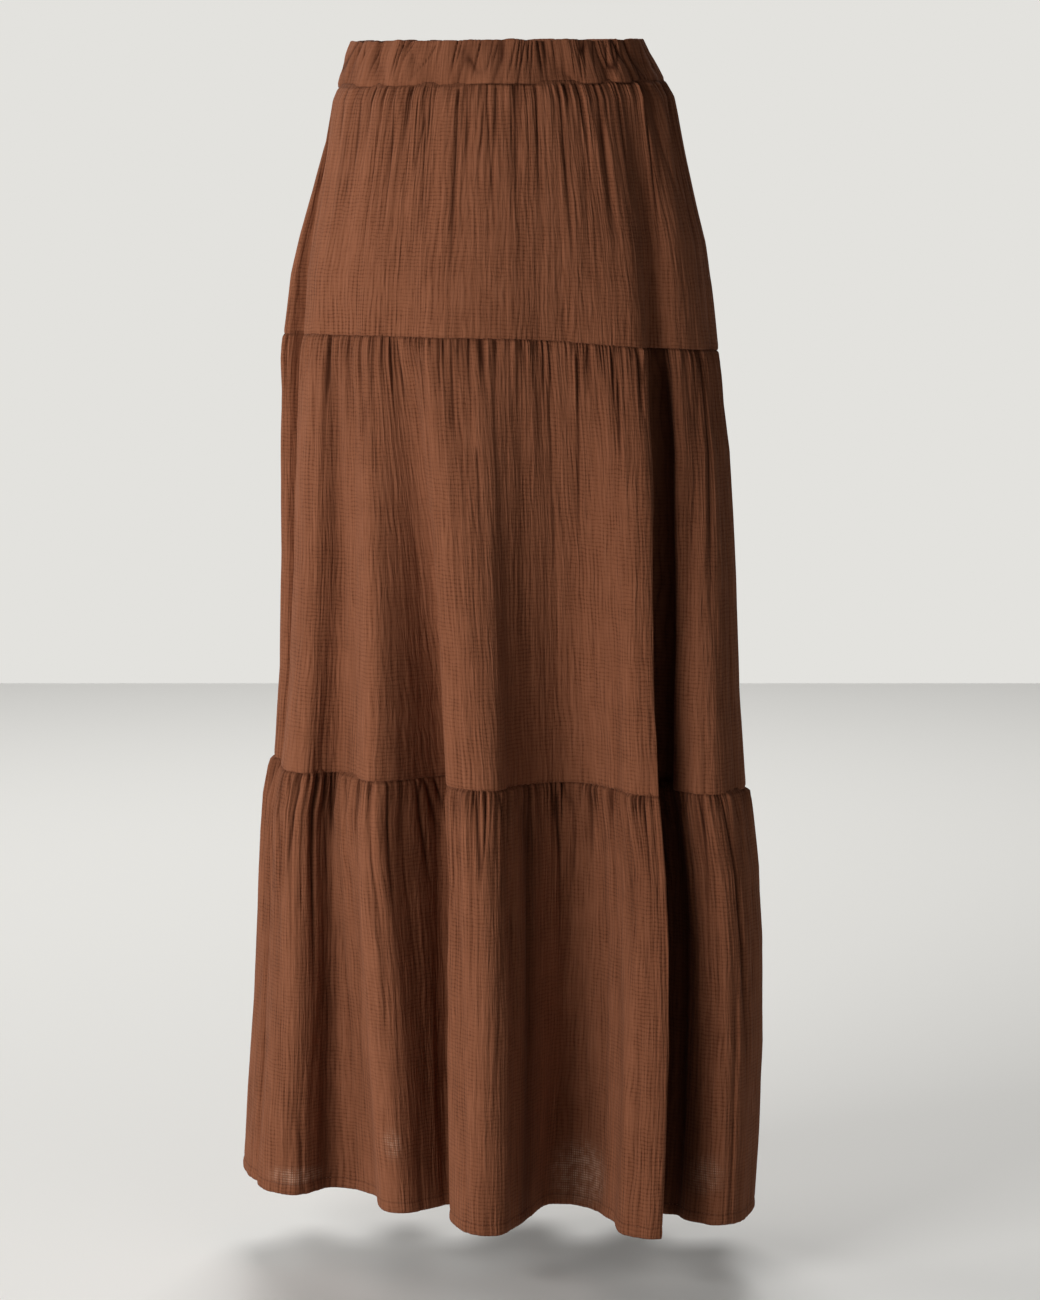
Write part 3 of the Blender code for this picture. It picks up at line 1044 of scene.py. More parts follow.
TURNED_HEM = (
    EdgePoint(0.0, -0.5 * MM),
    EdgePoint(1.0 * MM, 0.3 * MM),
    EdgePoint(5.0 * MM, 0.6 * MM),
    EdgePoint(8.5 * MM, 0.2 * MM),
    EdgePoint(9.5 * MM, -0.5 * MM),
    EdgePoint(11.0 * MM, 0.0),
    EdgePoint(30.0 * MM, 0.0),
)


def profile(points: tuple[EdgePoint, ...], distance: np.ndarray) -> np.ndarray:
    """Reads an edge's profile at some distances from the edge."""
    return np.interp(distance, [p.distance for p in points], [p.out for p in points])


@dataclass
class Tier(ClothShell):
    """A tier of the skirt, gathered into the seam above it."""

    lower_edge: tuple[EdgePoint, ...] = ABOVE_SEAM

    def edge_profile(self, downs: np.ndarray) -> np.ndarray:
        """Tucked under the seam above, puffed out below it, and turned in at the bottom edge."""
        return profile(BELOW_SEAM, downs) + profile(self.lower_edge, self.drop - downs)


class Slant(NamedTuple):
    """How far the band's creases run on round the skirt from its seam up to its top edge."""

    fold: float
    run: float


BAND_SLANTS = (
    Slant(0.0, 5 * MM),
    Slant(2.0, 9 * MM),
    Slant(6.0, 12 * MM),
    Slant(10.0, 9 * MM),
    Slant(11.5, 1 * MM),
    Slant(15.0, 3 * MM),
    Slant(17.0, -8 * MM),
    Slant(20.0, -5 * MM),
    Slant(24.0, 5 * MM),
    Slant(28.0, -6 * MM),
    Slant(33.0, 5 * MM),
)


@dataclass
class Waistband(ClothShell):
    """The elastic waistband, a casing folded at its top edge and drawn up in deep creases.

    wall is the thickness of the casing with its elastic. The casing is puffed out by puff and
    drawn in at its seam by tuck. turn is how far its fold over the top edge goes round. The
    inner side has the share inner_depth of the creases, inner_gap behind the wall.
    """

    wall: float = 3.0 * MM
    puff: float = 0.9 * MM
    tuck: float = 0.9 * MM
    turn: float = math.radians(150.0)
    turn_rows: int = 6
    inner_depth: float = 0.5
    inner_gap: float = 0.4 * MM
    close_rows: float = 5 * MM

    def edge_profile(self, downs: np.ndarray) -> np.ndarray:
        """Round between the fold at the top and the seam at the bottom."""
        share = np.clip(downs / self.drop, 0.0, 1.0)
        return self.puff * (np.sin(np.pi * share**0.8) - 0.2) - self.tuck * smooth(share, 0.9, 1.0)

    def edge_creases(self, downs: np.ndarray) -> np.ndarray:
        """The painted shade line where the band goes into its seam."""
        return smooth(downs, self.drop - SEAM_SHADE_LINE, self.drop)

    def slant(self, shares: np.ndarray, share_down: np.ndarray) -> np.ndarray:
        """How far round the skirt the band's leaning creases have run on at each point.

        Args:
            shares: each column's place round the skirt, as a row.
            share_down: each row's place down the piece, from 0 to 1, as a column.

        Returns:
            The run, as a share of the cloth's width.
        """
        at = [float(FORM.share_at(slant.fold)) for slant in BAND_SLANTS]
        run = np.interp(shares, at, [slant.run for slant in BAND_SLANTS])
        return -run * (1.0 - share_down) / self.cut_width

    def surface(self, shares: np.ndarray, downs: np.ndarray) -> tuple[np.ndarray, Relief]:
        """The points of the outer ply, with the fold over the top edge.

        Args:
            shares: each column's place round the skirt.
            downs: each row's distance below the top edge.

        Returns:
            The points, and their relief. The fold's rows come first.
        """
        straight, relief = super().surface(shares, downs)
        outward = FORM.lay(np.array([WAIST_TOP]), shares).outward[0]
        radius = 0.5 * self.wall
        rows = []
        for turn in np.linspace(self.turn, 0.0, self.turn_rows, endpoint=False):
            row = straight[0].copy()
            inwards = (radius + 0.5 * relief.heights[0]) * (1.0 - math.cos(turn))
            row[:, :2] -= inwards[:, None] * outward
            row[:, 2] += (radius + 0.4 * relief.heights[0]) * math.sin(turn)
            rows.append(row)
        folded = np.concatenate([np.array(rows), straight])
        marks = [np.concatenate([np.repeat(m[:1], self.turn_rows, axis=0), m]) for m in relief]
        return folded, Relief(*marks)

    def sheer_at(self, shares: np.ndarray, downs: np.ndarray) -> np.ndarray:
        """No light through the cloth is painted on the band, whose grid also has the fold's rows."""
        return np.zeros((len(downs) + self.turn_rows, len(shares)))

    def backing(self, shares: np.ndarray, downs: np.ndarray, outer: OuterPly) -> np.ndarray:
        """The points of the inner ply, which is drawn up in the same creases.

        Args:
            shares: each column's place round the skirt.
            downs: each row's distance below the top edge.
            outer: the outer ply, which isn't needed here.

        Returns:
            The points.
        """
        lay = self.lay(shares, downs)
        creased = self.inner_depth * self.relief(shares, downs[:, None], lay).heights
        return self.placed(lay, creased - self.wall - self.inner_gap, shares, downs)

    def outer_downs(self) -> np.ndarray:
        """The rows of the outer ply below the fold at the top."""
        return spread_rows(0.5 * self.wall, self.drop, self.rows, self.close_rows)

    def inner_downs(self) -> np.ndarray:
        """The rows of the inner ply."""
        return spread_rows(0.6 * self.wall, self.drop, self.inner_rows, self.close_rows)

    def flat_places(self, shares: np.ndarray, downs: np.ndarray) -> np.ndarray:
        """Where each point is in the flat cloth, the fold's rows of the outer ply above its edge.

        Args:
            shares: each column's place round the skirt.
            downs: each row's distance below the top edge.

        Returns:
            The flat places, in metres.
        """
        outer_ply = len(downs) == self.rows + 1
        if outer_ply:
            above = -np.linspace(1.0, 0.0, self.turn_rows, endpoint=False) * self.wall
            downs = np.concatenate([downs[0] + above, downs])
        return super().flat_places(shares, downs)


def ladder(fine: np.ndarray, coarse: np.ndarray, flip: bool) -> list[tuple[int, int, int]]:
    """Triangles between two rows of points that run side by side.

    Args:
        fine: the first row's point numbers.
        coarse: the second row's.
        flip: turns the triangles over.

    Returns:
        The corners of each triangle.
    """
    faces = []
    i = j = 0
    while i < len(fine) - 1 or j < len(coarse) - 1:
        if (i + 1) * (len(coarse) - 1) <= (j + 1) * (len(fine) - 1):
            face = (fine[i], fine[i + 1], coarse[j])
            i += 1
        else:
            face = (fine[i], coarse[j + 1], coarse[j])
            j += 1
        faces.append(tuple(int(corner) for corner in (reversed(face) if flip else face)))
    return faces


def shell_mesh(name: str, outer: np.ndarray, inner: np.ndarray) -> bpy.types.Mesh:
    """A closed shell between two grids of points, given as rows from top to bottom.

    Args:
        name: the mesh's name.
        outer: the outer grid, rows by columns by 3.
        inner: the inner grid, which may be coarser.

    Returns:
        The mesh, its faces pointing out.
    """
    out = np.arange(outer.shape[0] * outer.shape[1]).reshape(outer.shape[:2])
    inn = out.size + np.arange(inner.shape[0] * inner.shape[1]).reshape(inner.shape[:2])
    outer_quads = np.stack([out[:-1, :-1], out[1:, :-1], out[1:, 1:], out[:-1, 1:]], axis=-1)
    inner_quads = np.stack([inn[:-1, :-1], inn[:-1, 1:], inn[1:, 1:], inn[1:, :-1]], axis=-1)
    faces = [*outer_quads.reshape(-1, 4).tolist(), *inner_quads.reshape(-1, 4).tolist()]
    faces += ladder(out[0], inn[0], False) + ladder(out[-1], inn[-1], True)
    faces += ladder(out[:, 0], inn[:, 0], True) + ladder(out[:, -1], inn[:, -1], False)
    mesh = bpy.data.meshes.new(name)
    mesh.from_pydata(np.concatenate([outer.reshape(-1, 3), inner.reshape(-1, 3)]).tolist(), [], faces)
    mesh.shade_smooth()
    mesh.set_sharp_from_angle(angle=math.radians(75.0))
    return mesh


def add_flat_map(mesh: bpy.types.Mesh, flat: np.ndarray) -> None:
    """Gives the mesh a UV map that holds each point's place in the flat cloth.

    Args:
        mesh: the mesh.
        flat: the places, in metres.
    """
    corners = np.empty(len(mesh.loops), dtype=np.int32)
    mesh.loops.foreach_get("vertex_index", corners)
    layer = mesh.uv_layers.new(name="flat cloth")
    layer.data.foreach_set("uv", flat[corners].astype(np.float32).ravel())


def add_marks(mesh: bpy.types.Mesh, name: str, values: np.ndarray) -> None:
    """Gives the mesh a named number at each point, for its finish to read."""
    marks = mesh.attributes.new(name, "FLOAT", "POINT")
    marks.data.foreach_set("value", values.astype(np.float32))


def put_in_scene(name: str, data: bpy.types.ID) -> bpy.types.Object:
    """Puts a mesh, a lamp or a camera into the scene.

    Args:
        name: the object's name.
        data: what the object shows.

    Returns:
        The new object, at the origin.
    """
    thing = bpy.data.objects.new(name, data)
    bpy.context.collection.objects.link(thing)
    return thing


class NodeBench:
    """Adds and joins the shader nodes of one material or of the world."""

    def __init__(self, owner: bpy.types.Material | bpy.types.World) -> None:
        """Takes the owner's node tree."""
        owner.use_nodes = True
        self.tree = owner.node_tree

    def surface(self, **inputs: Value) -> None:
        """Sets or joins inputs of the material's shader, by name, with _ for a space."""
        self.fill(self.tree.nodes["Principled BSDF"], inputs)

    def fill(self, node: bpy.types.Node, inputs: dict[str, Value]) -> None:
        """Sets or joins a node's inputs.

        Args:
            node: the node.
            inputs: values or sockets by name, with _ for a space, or by number.
        """
        for key, value in inputs.items():
            self.join(value, node.inputs[int(key) if key.isdigit() else key.replace("_", " ")])

    def add(self, kind: str, settings: dict[str, str] | None = None, **inputs: Value) -> bpy.types.Node:
        """Adds a node.

        Args:
            kind: the node's type.
            settings: its properties.
            **inputs: what its inputs get, as for fill.

        Returns:
            The node.
        """
        node = self.tree.nodes.new(kind)
        for key, value in (settings or {}).items():
            setattr(node, key, value)
        self.fill(node, inputs)
        return node

    def join(self, value: Value, socket: Socket) -> None:
        """Links another socket to this one, or sets its value.

        Args:
            value: the other socket, or the value.
            socket: this one.
        """
        if isinstance(value, Socket):
            self.tree.links.new(value, socket)
        else:
            socket.default_value = value

    def math(self, operation: str, *values: float | Socket) -> Socket:
        """A sum on up to three numbers."""
        inputs = {str(number): value for number, value in enumerate(values)}
        return self.add("ShaderNodeMath", {"operation": operation}, **inputs).outputs["Value"]

    def mark(self, name: str) -> Socket:
        """The number that the mesh carries under a name at each point."""
        return self.add("ShaderNodeAttribute", {"attribute_name": name}).outputs["Fac"]

    def along(self, flat: Socket, axis: str) -> Socket:
        """How far the flat cloth's places are along X, across it, or Y, down it."""
        return self.add("ShaderNodeSeparateXYZ", Vector=flat).outputs[axis]

    def wave(self, place: Socket, turns: float) -> Socket:
        """A sine wave along one direction."""
        return self.math("SINE", self.math("MULTIPLY", place, turns))

    def stretched(self, flat: Socket, across: float, down: float) -> Socket:
        """The flat cloth's places, counted in cells of a width and a length in metres."""
        scale = (1.0 / across, 1.0 / down, 1.0)
        return self.add("ShaderNodeMapping", Vector=flat, Scale=scale).outputs["Vector"]

    def noise(self, places: Socket, detail: float = 1.0) -> Socket:
        """A soft uneven pattern, from 0 to 1."""
        settings = {"noise_dimensions": "2D"}
        return self.add("ShaderNodeTexNoise", settings, Vector=places, Scale=1.0, Detail=detail).outputs[0]

    def ridges(self, places: Socket) -> Socket:
        """Round ridges with sharp creases between them, from 0 to about 1."""
        centred = self.math("SUBTRACT", self.noise(places), 0.5)
        return self.math("POWER", self.math("MULTIPLY", self.math("ABSOLUTE", centred), 4.0), 0.7)

    def tint(self, factor: Socket, first: Colour | Socket, second: Colour | Socket) -> Socket:
        """The first colour where the factor is 0, the second where it is 1, or their mix."""
        inputs = {"0": factor, "6": first, "7": second}
        return self.add("ShaderNodeMix", {"data_type": "RGBA"}, **inputs).outputs[2]

    def steps(self, value: Socket, low: float, high: float, first: float, last: float) -> Socket:
        """A number moved softly from the range low to high to the range first to last."""
        inputs = {"0": value, "1": low, "2": high, "3": first, "4": last}
        return self.add("ShaderNodeMapRange", {"interpolation_type": "SMOOTHSTEP"}, **inputs).outputs[0]


class Texture(NamedTuple):
    """One fine pattern of the cloth.

    across and down are its cells in the flat cloth, height is how high it stands, shade is how
    much it darkens or brightens the colour, and middle is its value where it does neither. For
    the tacks, crinkles and puckers that is painted shade in their creases and painted highlight
    on their ridges; the threads darken the colour where the weave is low, and the streaks are
    the dye's own unevenness.
    """

    across: float
    down: float
    height: float
    shade: float = 0.0
    middle: float = 0.5


class Sway(NamedTuple):
    """How a pattern wanders: over what distances in the flat cloth, and by how much."""

    across: float
    down: float
    reach: float


class Fading(NamedTuple):
    """The size of the patches in which a pattern fades, and the least that is left of it."""

    across: float
    down: float
    least: float


# How high above the hem's edge its row of stitches is.
HEM_STITCHES = 9.3 * MM


@dataclass(frozen=True)
class DoubleGauze:
    """The finish of the cloth: two plies of thin cotton, tacked together and crinkled.

    The sways of tacks and puckers are in rows, that of the crinkles in metres. fineness is the
    strength of all these patterns, relief_shade that of the painted shade and highlight on the
    modelled valleys and crests, the crease strength that of the painted shade in the marked
    creases, and mesh_pitch is from hole to hole where painted light shows through. The colours
    run from a dark one, painted shade and darker dye, over the plain one, at even_crest and about
    it, to a light one, painted highlight and lighter dye.
    """

    name: str = "double_gauze"
    colour: Colour = (0.200, 0.071, 0.034, 1.0)
    # Painted shade and highlight by the relief and the fine patterns, with the dye's streaks.
    deep_colour: Colour = (0.085, 0.025, 0.010, 1.0)
    bright_colour: Colour = (0.262, 0.100, 0.052, 1.0)
    # Painted shade in the marked creases and in the hem's dented stitch row.
    crease_colour: Colour = (0.036, 0.009, 0.003, 1.0)
    # Painted light where light comes through the gauze.
    sheer_colour: Colour = (0.520, 0.330, 0.235, 1.0)
    sheen_tint: Colour = (0.66, 0.38, 0.26, 1.0)
    tack: Texture = Texture(5.2 * MM, 3.3 * MM, 0.30 * MM, shade=0.42, middle=0.78)
    tack_sway: Sway = Sway(24 * MM, 60 * MM, 0.9)
    tack_fading: Fading = Fading(34 * MM, 70 * MM, 0.55)
    crinkle: Texture = Texture(3.4 * MM, 40 * MM, 0.34 * MM, shade=0.26, middle=0.55)
    crinkle_sway: Sway = Sway(7.0 * MM, 16 * MM, 1.2 * MM)
    pucker: Texture = Texture(5.2 * MM, 3.3 * MM, 0.16 * MM, shade=0.36, middle=0.80)
    pucker_sway: Sway = Sway(14 * MM, 8 * MM, 0.45)
    pucker_fading: Fading = Fading(26 * MM, 40 * MM, 0.50)
    thread: Texture = Texture(0.7 * MM, 0.7 * MM, 0.04 * MM, shade=0.08)
    streak: Texture = Texture(9 * MM, 140 * MM, 0.0, shade=0.06)
    relief_shade: float = 0.08
    even_crest: float = 0.52
    fineness: float = 1.0
    crease_strength: float = 0.8
    mesh_pitch: float = 2.1 * MM
    mesh_patch: float = 7 * MM
    hem_line: float = HEM + HEM_STITCHES
    # How much painted shade the dented row of hem stitches gets.
    hem_line_strength: float = 0.2

    def make(self) -> bpy.types.Material:
        """Builds the material.

        Returns:
            The material, which reads the flat map and the marks of a piece.
        """
        material = bpy.data.materials.new(self.name)
        bench = NodeBench(material)
        flat = bench.add("ShaderNodeUVMap", {"uv_map": "flat cloth"}).outputs["UV"]
        patterns = {
            self.tack: self.tacks(bench, flat),
            self.crinkle: self.crinkles(bench, flat),
            self.pucker: self.puckers(bench, flat),
            self.thread: self.threads(bench, flat),
        }
        total = 0.0
        for texture, pattern in patterns.items():
            total = bench.math("MULTIPLY_ADD", pattern, self.fineness * texture.height, total)
        bump = bench.add("ShaderNodeBump", Height=total, Strength=1.0, Distance=1.0)
        bench.surface(
            Base_Color=self.paint(bench, flat, patterns),
            Normal=bump.outputs["Normal"],
            Roughness=0.95,
            Specular_IOR_Level=0.12,
            Sheen_Weight=0.06,
            Sheen_Roughness=0.5,
            Sheen_Tint=self.sheen_tint,
        )
        return material

    def crinkles(self, bench: NodeBench, flat: Socket) -> Socket:
        """The crinkles down the cloth, moved a little to and fro, so that none runs straight.

        Args:
            bench: the material's bench.
            flat: the flat cloth's places.

        Returns:
            The crinkles' heights, from 0 to about 1.
        """
        sway = self.crinkle_sway
        noise = bench.noise(bench.stretched(flat, sway.across, sway.down))
        push = bench.math("MULTIPLY_ADD", noise, 2.0 * sway.reach, -sway.reach)
        offset = bench.add("ShaderNodeCombineXYZ", X=push).outputs["Vector"]
        moved = bench.add("ShaderNodeVectorMath", {"operation": "ADD"}, **{"0": flat, "1": offset})
        return bench.ridges(bench.stretched(moved.outputs[0], self.crinkle.across, self.crinkle.down))

    def rows(self, bench: NodeBench, flat: Socket, axis: str, pitch: float, sway: Sway) -> Socket:
        """Even rows of round ridges with narrow creases between them, from 0 to 1.

        Args:
            bench: the material's bench.
            flat: the flat cloth's places.
            axis: X for rows side by side, Y for rows one below the other.
            pitch: the distance from row to row.
            sway: over what distances the rows wander, and by how many rows.

        Returns:
            The ridges' heights.
        """
        lag = bench.noise(bench.stretched(flat, sway.across, sway.down))
        place = bench.math("DIVIDE", bench.along(flat, axis), pitch)
        turns = bench.math("MULTIPLY_ADD", lag, 2.0 * sway.reach, place)
        return bench.math("POWER", bench.math("ABSOLUTE", bench.wave(turns, math.pi)), 0.6)

    def tacks(self, bench: NodeBench, flat: Socket) -> Socket:
        """The creases down the cloth between its tacked threads, stronger in patches."""
        rows = self.rows(bench, flat, "X", self.tack.across, self.tack_sway)
        return self.faded(bench, flat, rows, self.tack_fading)

    def puckers(self, bench: NodeBench, flat: Socket) -> Socket:
        """The finer creases across the cloth, stronger in patches."""
        rows = self.rows(bench, flat, "Y", self.pucker.down, self.pucker_sway)
        return self.faded(bench, flat, rows, self.pucker_fading)

    def faded(self, bench: NodeBench, flat: Socket, pattern: Socket, fading: Fading) -> Socket:
        """A pattern that fades to 1 in uneven patches.

        Args:
            bench: the material's bench.
            flat: the flat cloth's places.
            pattern: the pattern.
            fading: the size of the patches, and the least that is left of the pattern.

        Returns:
            The faded pattern.
        """
        noise = bench.noise(bench.stretched(flat, fading.across, fading.down), 2.0)
        strength = bench.steps(noise, 0.36, 0.62, fading.least, 1.0)
        depth = bench.math("MULTIPLY", bench.math("SUBTRACT", 1.0, pattern), strength)
        return bench.math("SUBTRACT", 1.0, depth)

    def threads(self, bench: NodeBench, flat: Socket) -> Socket:
        """The plain weave: threads over and under each other, from 0 to 1.

        Args:
            bench: the material's bench.
            flat: the flat cloth's places.

        Returns:
            The threads' heights.
        """
        warp = bench.wave(bench.along(flat, "X"), 2.0 * math.pi / self.thread.across)
        weft = bench.wave(bench.along(flat, "Y"), 2.0 * math.pi / self.thread.down)
        return bench.math("MULTIPLY_ADD", bench.math("MULTIPLY", warp, weft), 0.5, 0.5)

    def shine_through(self, bench: NodeBench, flat: Socket) -> Socket:
        """The painted light: bright dots where light comes through the gauze in its sheer patches.

        Args:
            bench: the material's bench.
            flat: the flat cloth's places.

        Returns:
            How bright they are, from 0 to 1.
        """
        warp, weft = (bench.wave(bench.along(flat, axis), math.pi / self.mesh_pitch) for axis in "XY")
        holes = bench.math("ABSOLUTE", bench.math("MULTIPLY", warp, weft))
        noise = bench.noise(bench.stretched(flat, self.mesh_patch, self.mesh_patch))
        uneven = bench.steps(noise, 0.30, 0.70, 0.30, 0.95)
        return bench.math("MULTIPLY", bench.math("MULTIPLY", holes, bench.mark("sheer")), uneven)

    def hem_seam(self, bench: NodeBench, flat: Socket) -> Socket:
        """The painted shade in the dented row of stitches above the hem, from 0 to 1."""
        away = bench.math("ABSOLUTE", bench.math("SUBTRACT", bench.along(flat, "Y"), self.hem_line))
        return bench.steps(away, 0.3 * MM, 1.3 * MM, 1.0, 0.0)

    def paint(self, bench: NodeBench, flat: Socket, patterns: dict[Texture, Socket]) -> Socket:
        """Paints shade into the creases and highlight onto the crests, and streaks the dye a little.

        Args:
            bench: the material's bench.
            flat: the flat cloth's places.
            patterns: the fine patterns of the cloth.

        Returns:
            The colour.
        """
        streaks = bench.noise(bench.stretched(flat, self.streak.across, self.streak.down), 2.0)
        # Painted shade in the modelled valleys and painted highlight on the crests.
        crest = bench.math("MULTIPLY_ADD", bench.mark("relief"), self.relief_shade, self.even_crest)
        # Painted shade and highlight of the tacks, crinkles and puckers; the threads darken the weave's
        # low points, and the streaks are the dye's own.
        for texture, pattern in {**patterns, self.streak: streaks}.items():
            even = texture in (self.thread, self.streak)
            shade = texture.shade if even else texture.shade * self.fineness
            push = bench.math("MULTIPLY_ADD", pattern, shade, -shade * texture.middle)
            crest = bench.math("ADD", crest, push)
        low = bench.tint(bench.math("MULTIPLY", crest, 2.0), self.deep_colour, self.colour)
        colour = bench.tint(bench.math("MULTIPLY_ADD", crest, 2.0, -1.0), low, self.bright_colour)
        # Painted light: pale dots where light comes through the gauze.
        colour = bench.tint(self.shine_through(bench, flat), colour, self.sheer_colour)
        # Painted shade in the marked creases and in the dented row of hem stitches.
        creased = bench.math("MULTIPLY", bench.mark("crease"), self.crease_strength)
        seam = self.hem_seam(bench, flat)
        painted_shade = bench.math("MULTIPLY_ADD", seam, self.hem_line_strength, creased)
        return bench.tint(painted_shade, colour, self.crease_colour)


@dataclass(frozen=True)
class SewingThread:
    """The finish of the stitches: cotton thread, a little darker than the cloth."""

    name: str = "sewing_thread"
    colour: Colour = (0.150, 0.055, 0.030, 1.0)
    light_colour: Colour = (0.225, 0.0825, 0.045, 1.0)
    twist: float = 0.5 * MM

    def make(self) -> bpy.types.Material:
        """Builds the material, with the uneven twist of the thread.

        Returns:
            The material.
        """
        material = bpy.data.materials.new(self.name)
        bench = NodeBench(material)
        places = bench.add("ShaderNodeTexCoord").outputs["Object"]
        scaled = bench.add("ShaderNodeMapping", Vector=places, Scale=(1.0 / self.twist,) * 3)
        grain = bench.add("ShaderNodeTexNoise", Vector=scaled.outputs["Vector"], Scale=1.0).outputs[0]
        bench.surface(Base_Color=bench.tint(grain, self.colour, self.light_colour), Roughness=0.8)
        return material


@dataclass
class HemStitching:
    """The row of stitches that holds the turned hem.

    Each stitch is a thread of a length and a thickness, a pitch after the last, and its middle
    lies a little proud of the cloth.
    """

    tier: Tier
    above_edge: float = HEM_STITCHES
    pitch: float = 3.2 * MM
    length: float = 2.2 * MM
    thickness: float = 0.5 * MM
    proud: float = 0.05 * MM

    def one_stitch(self) -> bpy.types.Mesh:
        """Models one stitch, a short round-ended thread along X.

        Returns:
            The stitch's mesh.
        """
        bpy.ops.object.select_all(action="DESELECT")
        bpy.ops.mesh.primitive_uv_sphere_add(segments=8, ring_count=5, radius=0.5)
        stitch = bpy.context.active_object
        stitch.scale = (self.length, self.thickness, self.thickness)
        bpy.ops.object.transform_apply(location=False, rotation=False, scale=True)
        mesh = stitch.data
        bpy.data.objects.remove(stitch)
        return mesh

    def build(self, half: Half, finish: bpy.types.Material) -> bpy.types.Object:
        """Copies the stitch all along one half of the hem.

        Args:
            half: the back or the front.
            finish: the thread's material.

        Returns:
            The stitches as one object.
        """
        stitch = self.one_stitch()
        corners = np.array([vertex.co for vertex in stitch.vertices])
        loops = [list(polygon.vertices) for polygon in stitch.polygons]
        count = round(self.tier.cut_width * 0.5 / self.pitch)
        shares = self.tier.columns_of(half, 2 * count)
        down = np.array([self.tier.drop - self.above_edge])
        points, _ = self.tier.surface(shares, down)
        starts, ends = points[0, :-1], points[0, 1:]
        ways = (ends - starts) / np.linalg.norm(ends - starts, axis=1)[:, None]
        outs = np.column_stack([ways[:, 1], -ways[:, 0], np.zeros(len(ways))])
        ups = np.cross(ways, outs)
        middles = 0.5 * (starts + ends) + self.proud * outs
        turned = np.einsum("kj,njc->nkc", corners, np.stack([ways, outs, ups], axis=1))
        places = (middles[:, None] + turned).reshape(-1, 3)
        faces = [[c + n * len(corners) for c in loop] for n in range(len(middles)) for loop in loops]
        mesh = bpy.data.meshes.new(f"hem_stitches_{half.value}")
        mesh.from_pydata(places.tolist(), [], faces)
        mesh.shade_smooth()
        mesh.materials.append(finish)
        bpy.data.meshes.remove(stitch)
        piece = put_in_scene(mesh.name, mesh)
        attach(piece, "root")
        return piece


@dataclass(frozen=True)
class SoftLight:
    """A large soft lamp that stands round the skirt and is aimed at its middle.

    turn is its angle round the skirt, from the camera's side towards the picture's right, and
    rise its angle above the skirt's middle, both in degrees.
    """

    name: str
    turn: float
    rise: float
    watts: float
    distance: float = 4.0
    size: float = 2.0
    aim: tuple[float, float, float] = (0.0, 0.0, -0.5)

    def make(self) -> None:
        """Hangs the lamp."""
        lamp = bpy.data.lights.new(self.name, "AREA")
        lamp.shape = "SQUARE"
        lamp.size = self.size
        lamp.energy = self.watts
        turn, rise = math.radians(self.turn), math.radians(self.rise)
        level = math.cos(rise)
        away = Vector((math.sin(turn) * level, -math.cos(turn) * level, math.sin(rise)))
        holder = put_in_scene(self.name, lamp)
        holder.location = Vector(self.aim) + self.distance * away
        holder.rotation_euler = (-away).to_track_quat("-Z", "Y").to_euler()


